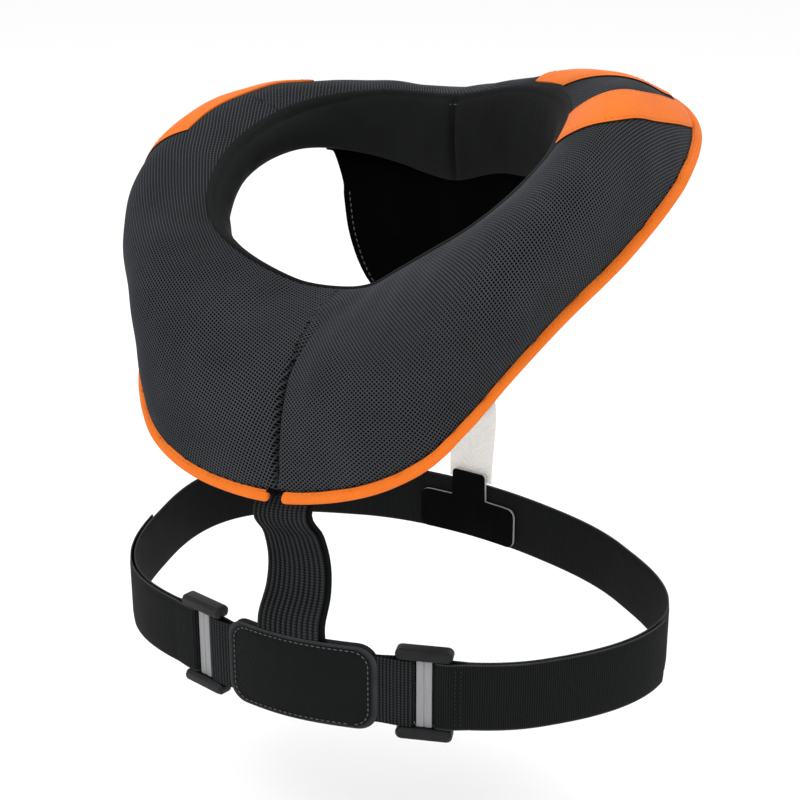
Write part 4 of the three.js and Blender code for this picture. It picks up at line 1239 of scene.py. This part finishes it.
def build_studio():
    corners = [(x * FLOOR_SIZE, y * FLOOR_SIZE, FLOOR_HEIGHT)
               for x, y in ((-1, -1), (1, -1), (1, 1), (-1, 1))]
    mesh = bpy.data.meshes.new("floor")
    mesh.from_pydata(corners, [], [(0, 1, 2, 3)])
    floor = bpy.data.objects.new("floor", mesh)
    bpy.context.scene.collection.objects.link(floor)
    pale = Finish("pale_floor", Roughness=0.9, Specular_IOR_Level=0.1)
    pale.colour(paint("fbfbfb"))
    mesh.materials.append(pale.material)
    world = bpy.data.worlds.new("studio")
    world.use_nodes = True
    world.node_tree.nodes["Background"].inputs["Color"].default_value = (1, 1, 1, 1)
    world.node_tree.nodes["Background"].inputs["Strength"].default_value = 1.0
    bpy.context.scene.world = world
    bpy.context.scene.view_settings.view_transform = "Standard"
    for name, (place, size, power) in LIGHTS.items():
        light = bpy.data.lights.new(name, "AREA")
        light.energy, light.size = power, size
        lamp = bpy.data.objects.new(name, light)
        lamp.location = place
        lamp.rotation_euler = aimed(Vector(LIGHT_TARGET) - Vector(place))
        bpy.context.scene.collection.objects.link(lamp)


def aimed(way):
    """The rotation of a light or camera that looks along a way."""
    return way.to_track_quat("-Z", "Y").to_euler()


# The photograph's view, in degrees and millimetres
VIEW_AZIMUTH, VIEW_ELEVATION, VIEW_DISTANCE = 24.5, 20.5, 1100
VIEW_TARGET = (-23, 40, -162.5)
VIEW_LENS, VIEW_FILM = 73.8, 36


def build_camera():
    a, e = math.radians(VIEW_AZIMUTH), math.radians(VIEW_ELEVATION)
    back = Vector((math.sin(a) * math.cos(e), -math.cos(a) * math.cos(e), math.sin(e)))
    data = bpy.data.cameras.new("photo_view")
    data.lens, data.sensor_width = VIEW_LENS, VIEW_FILM
    camera = bpy.data.objects.new("photo_view", data)
    camera.location = (Vector(VIEW_TARGET) + back * VIEW_DISTANCE) * MILLIMETRE
    camera.rotation_euler = aimed(-back)
    bpy.context.scene.collection.objects.link(camera)
    bpy.context.scene.camera = camera


def build():
    build_camera()
    build_studio()
    black_thread = thread_finish("black_thread", "3a3b3d", "5a5b5e")
    belt_thread = thread_finish("belt_thread", "131415", "262729")
    # Dark brown for the cords along the orange edges: painted shade in the creases of their seams
    seam_crease_shade = thread_finish("seam_crease_shade", "1c0e04", "3a1d0a")
    orange_thread = thread_finish("orange_thread", "b8520c", "f08a3a")
    pad = build_pad(foam_cloth_finish())
    mesh_cloth = spacer_finish()
    spacer_panel("mesh_left", (0, 0, 0), PANEL_SEAM_LEFT, mesh_cloth, pad)
    spacer_panel("mesh_rear", PANEL_SEAM_LEFT, PANEL_SEAM_RIGHT, mesh_cloth, pad)
    spacer_panel("mesh_right", PANEL_SEAM_RIGHT, (360, 360, 360), mesh_cloth, pad)
    build_lining(lining_finish(), black_thread)
    build_binding(orange_finish("binding_tape", 1.1), orange_thread, seam_crease_shade)
    band_cloth = orange_finish("orange_band_cloth", 1.4)
    for name in BANDS:
        build_band(name, band_cloth, orange_thread, seam_crease_shade)
    build_webbing(webbing_finish(), belt_thread)
    short = elastic_finish("short_elastic", 2.1, upright_cords=True)
    for side, word in SIDES:
        build_side_elastic(side, word, short)
    leather = leather_finish()
    build_patch("front", 1, leather, black_thread)
    build_patch("back", -1, leather, black_thread)
    plastic, bar = plastic_finish(), bar_finish()
    for side, word in SIDES:
        build_bar_web(side, word, plastic)
        eased(f"buckle_{word}", f"adjuster_{word}", plastic, 1.1)
        eased(f"centre_bar_{word}", f"grey_bar_{word}", bar, 0.35)
    build_tab(rubber_finish("tab_rubber", "020202", "0a0a0a"),
              rubber_finish("tab_cut_edge", "8f8f8f", "c4c4c4"))
    build_front_straps(elastic_finish("front_elastic_knit", FRONT_STRAP_WIDTH / FRONT_CORDS),
                       rubber_finish("backing_strap", "0b0c0c", "191a1b"))
    build_back_panel(board_finish(), black_thread)
    build_back_strap(pale_webbing_finish())


build()
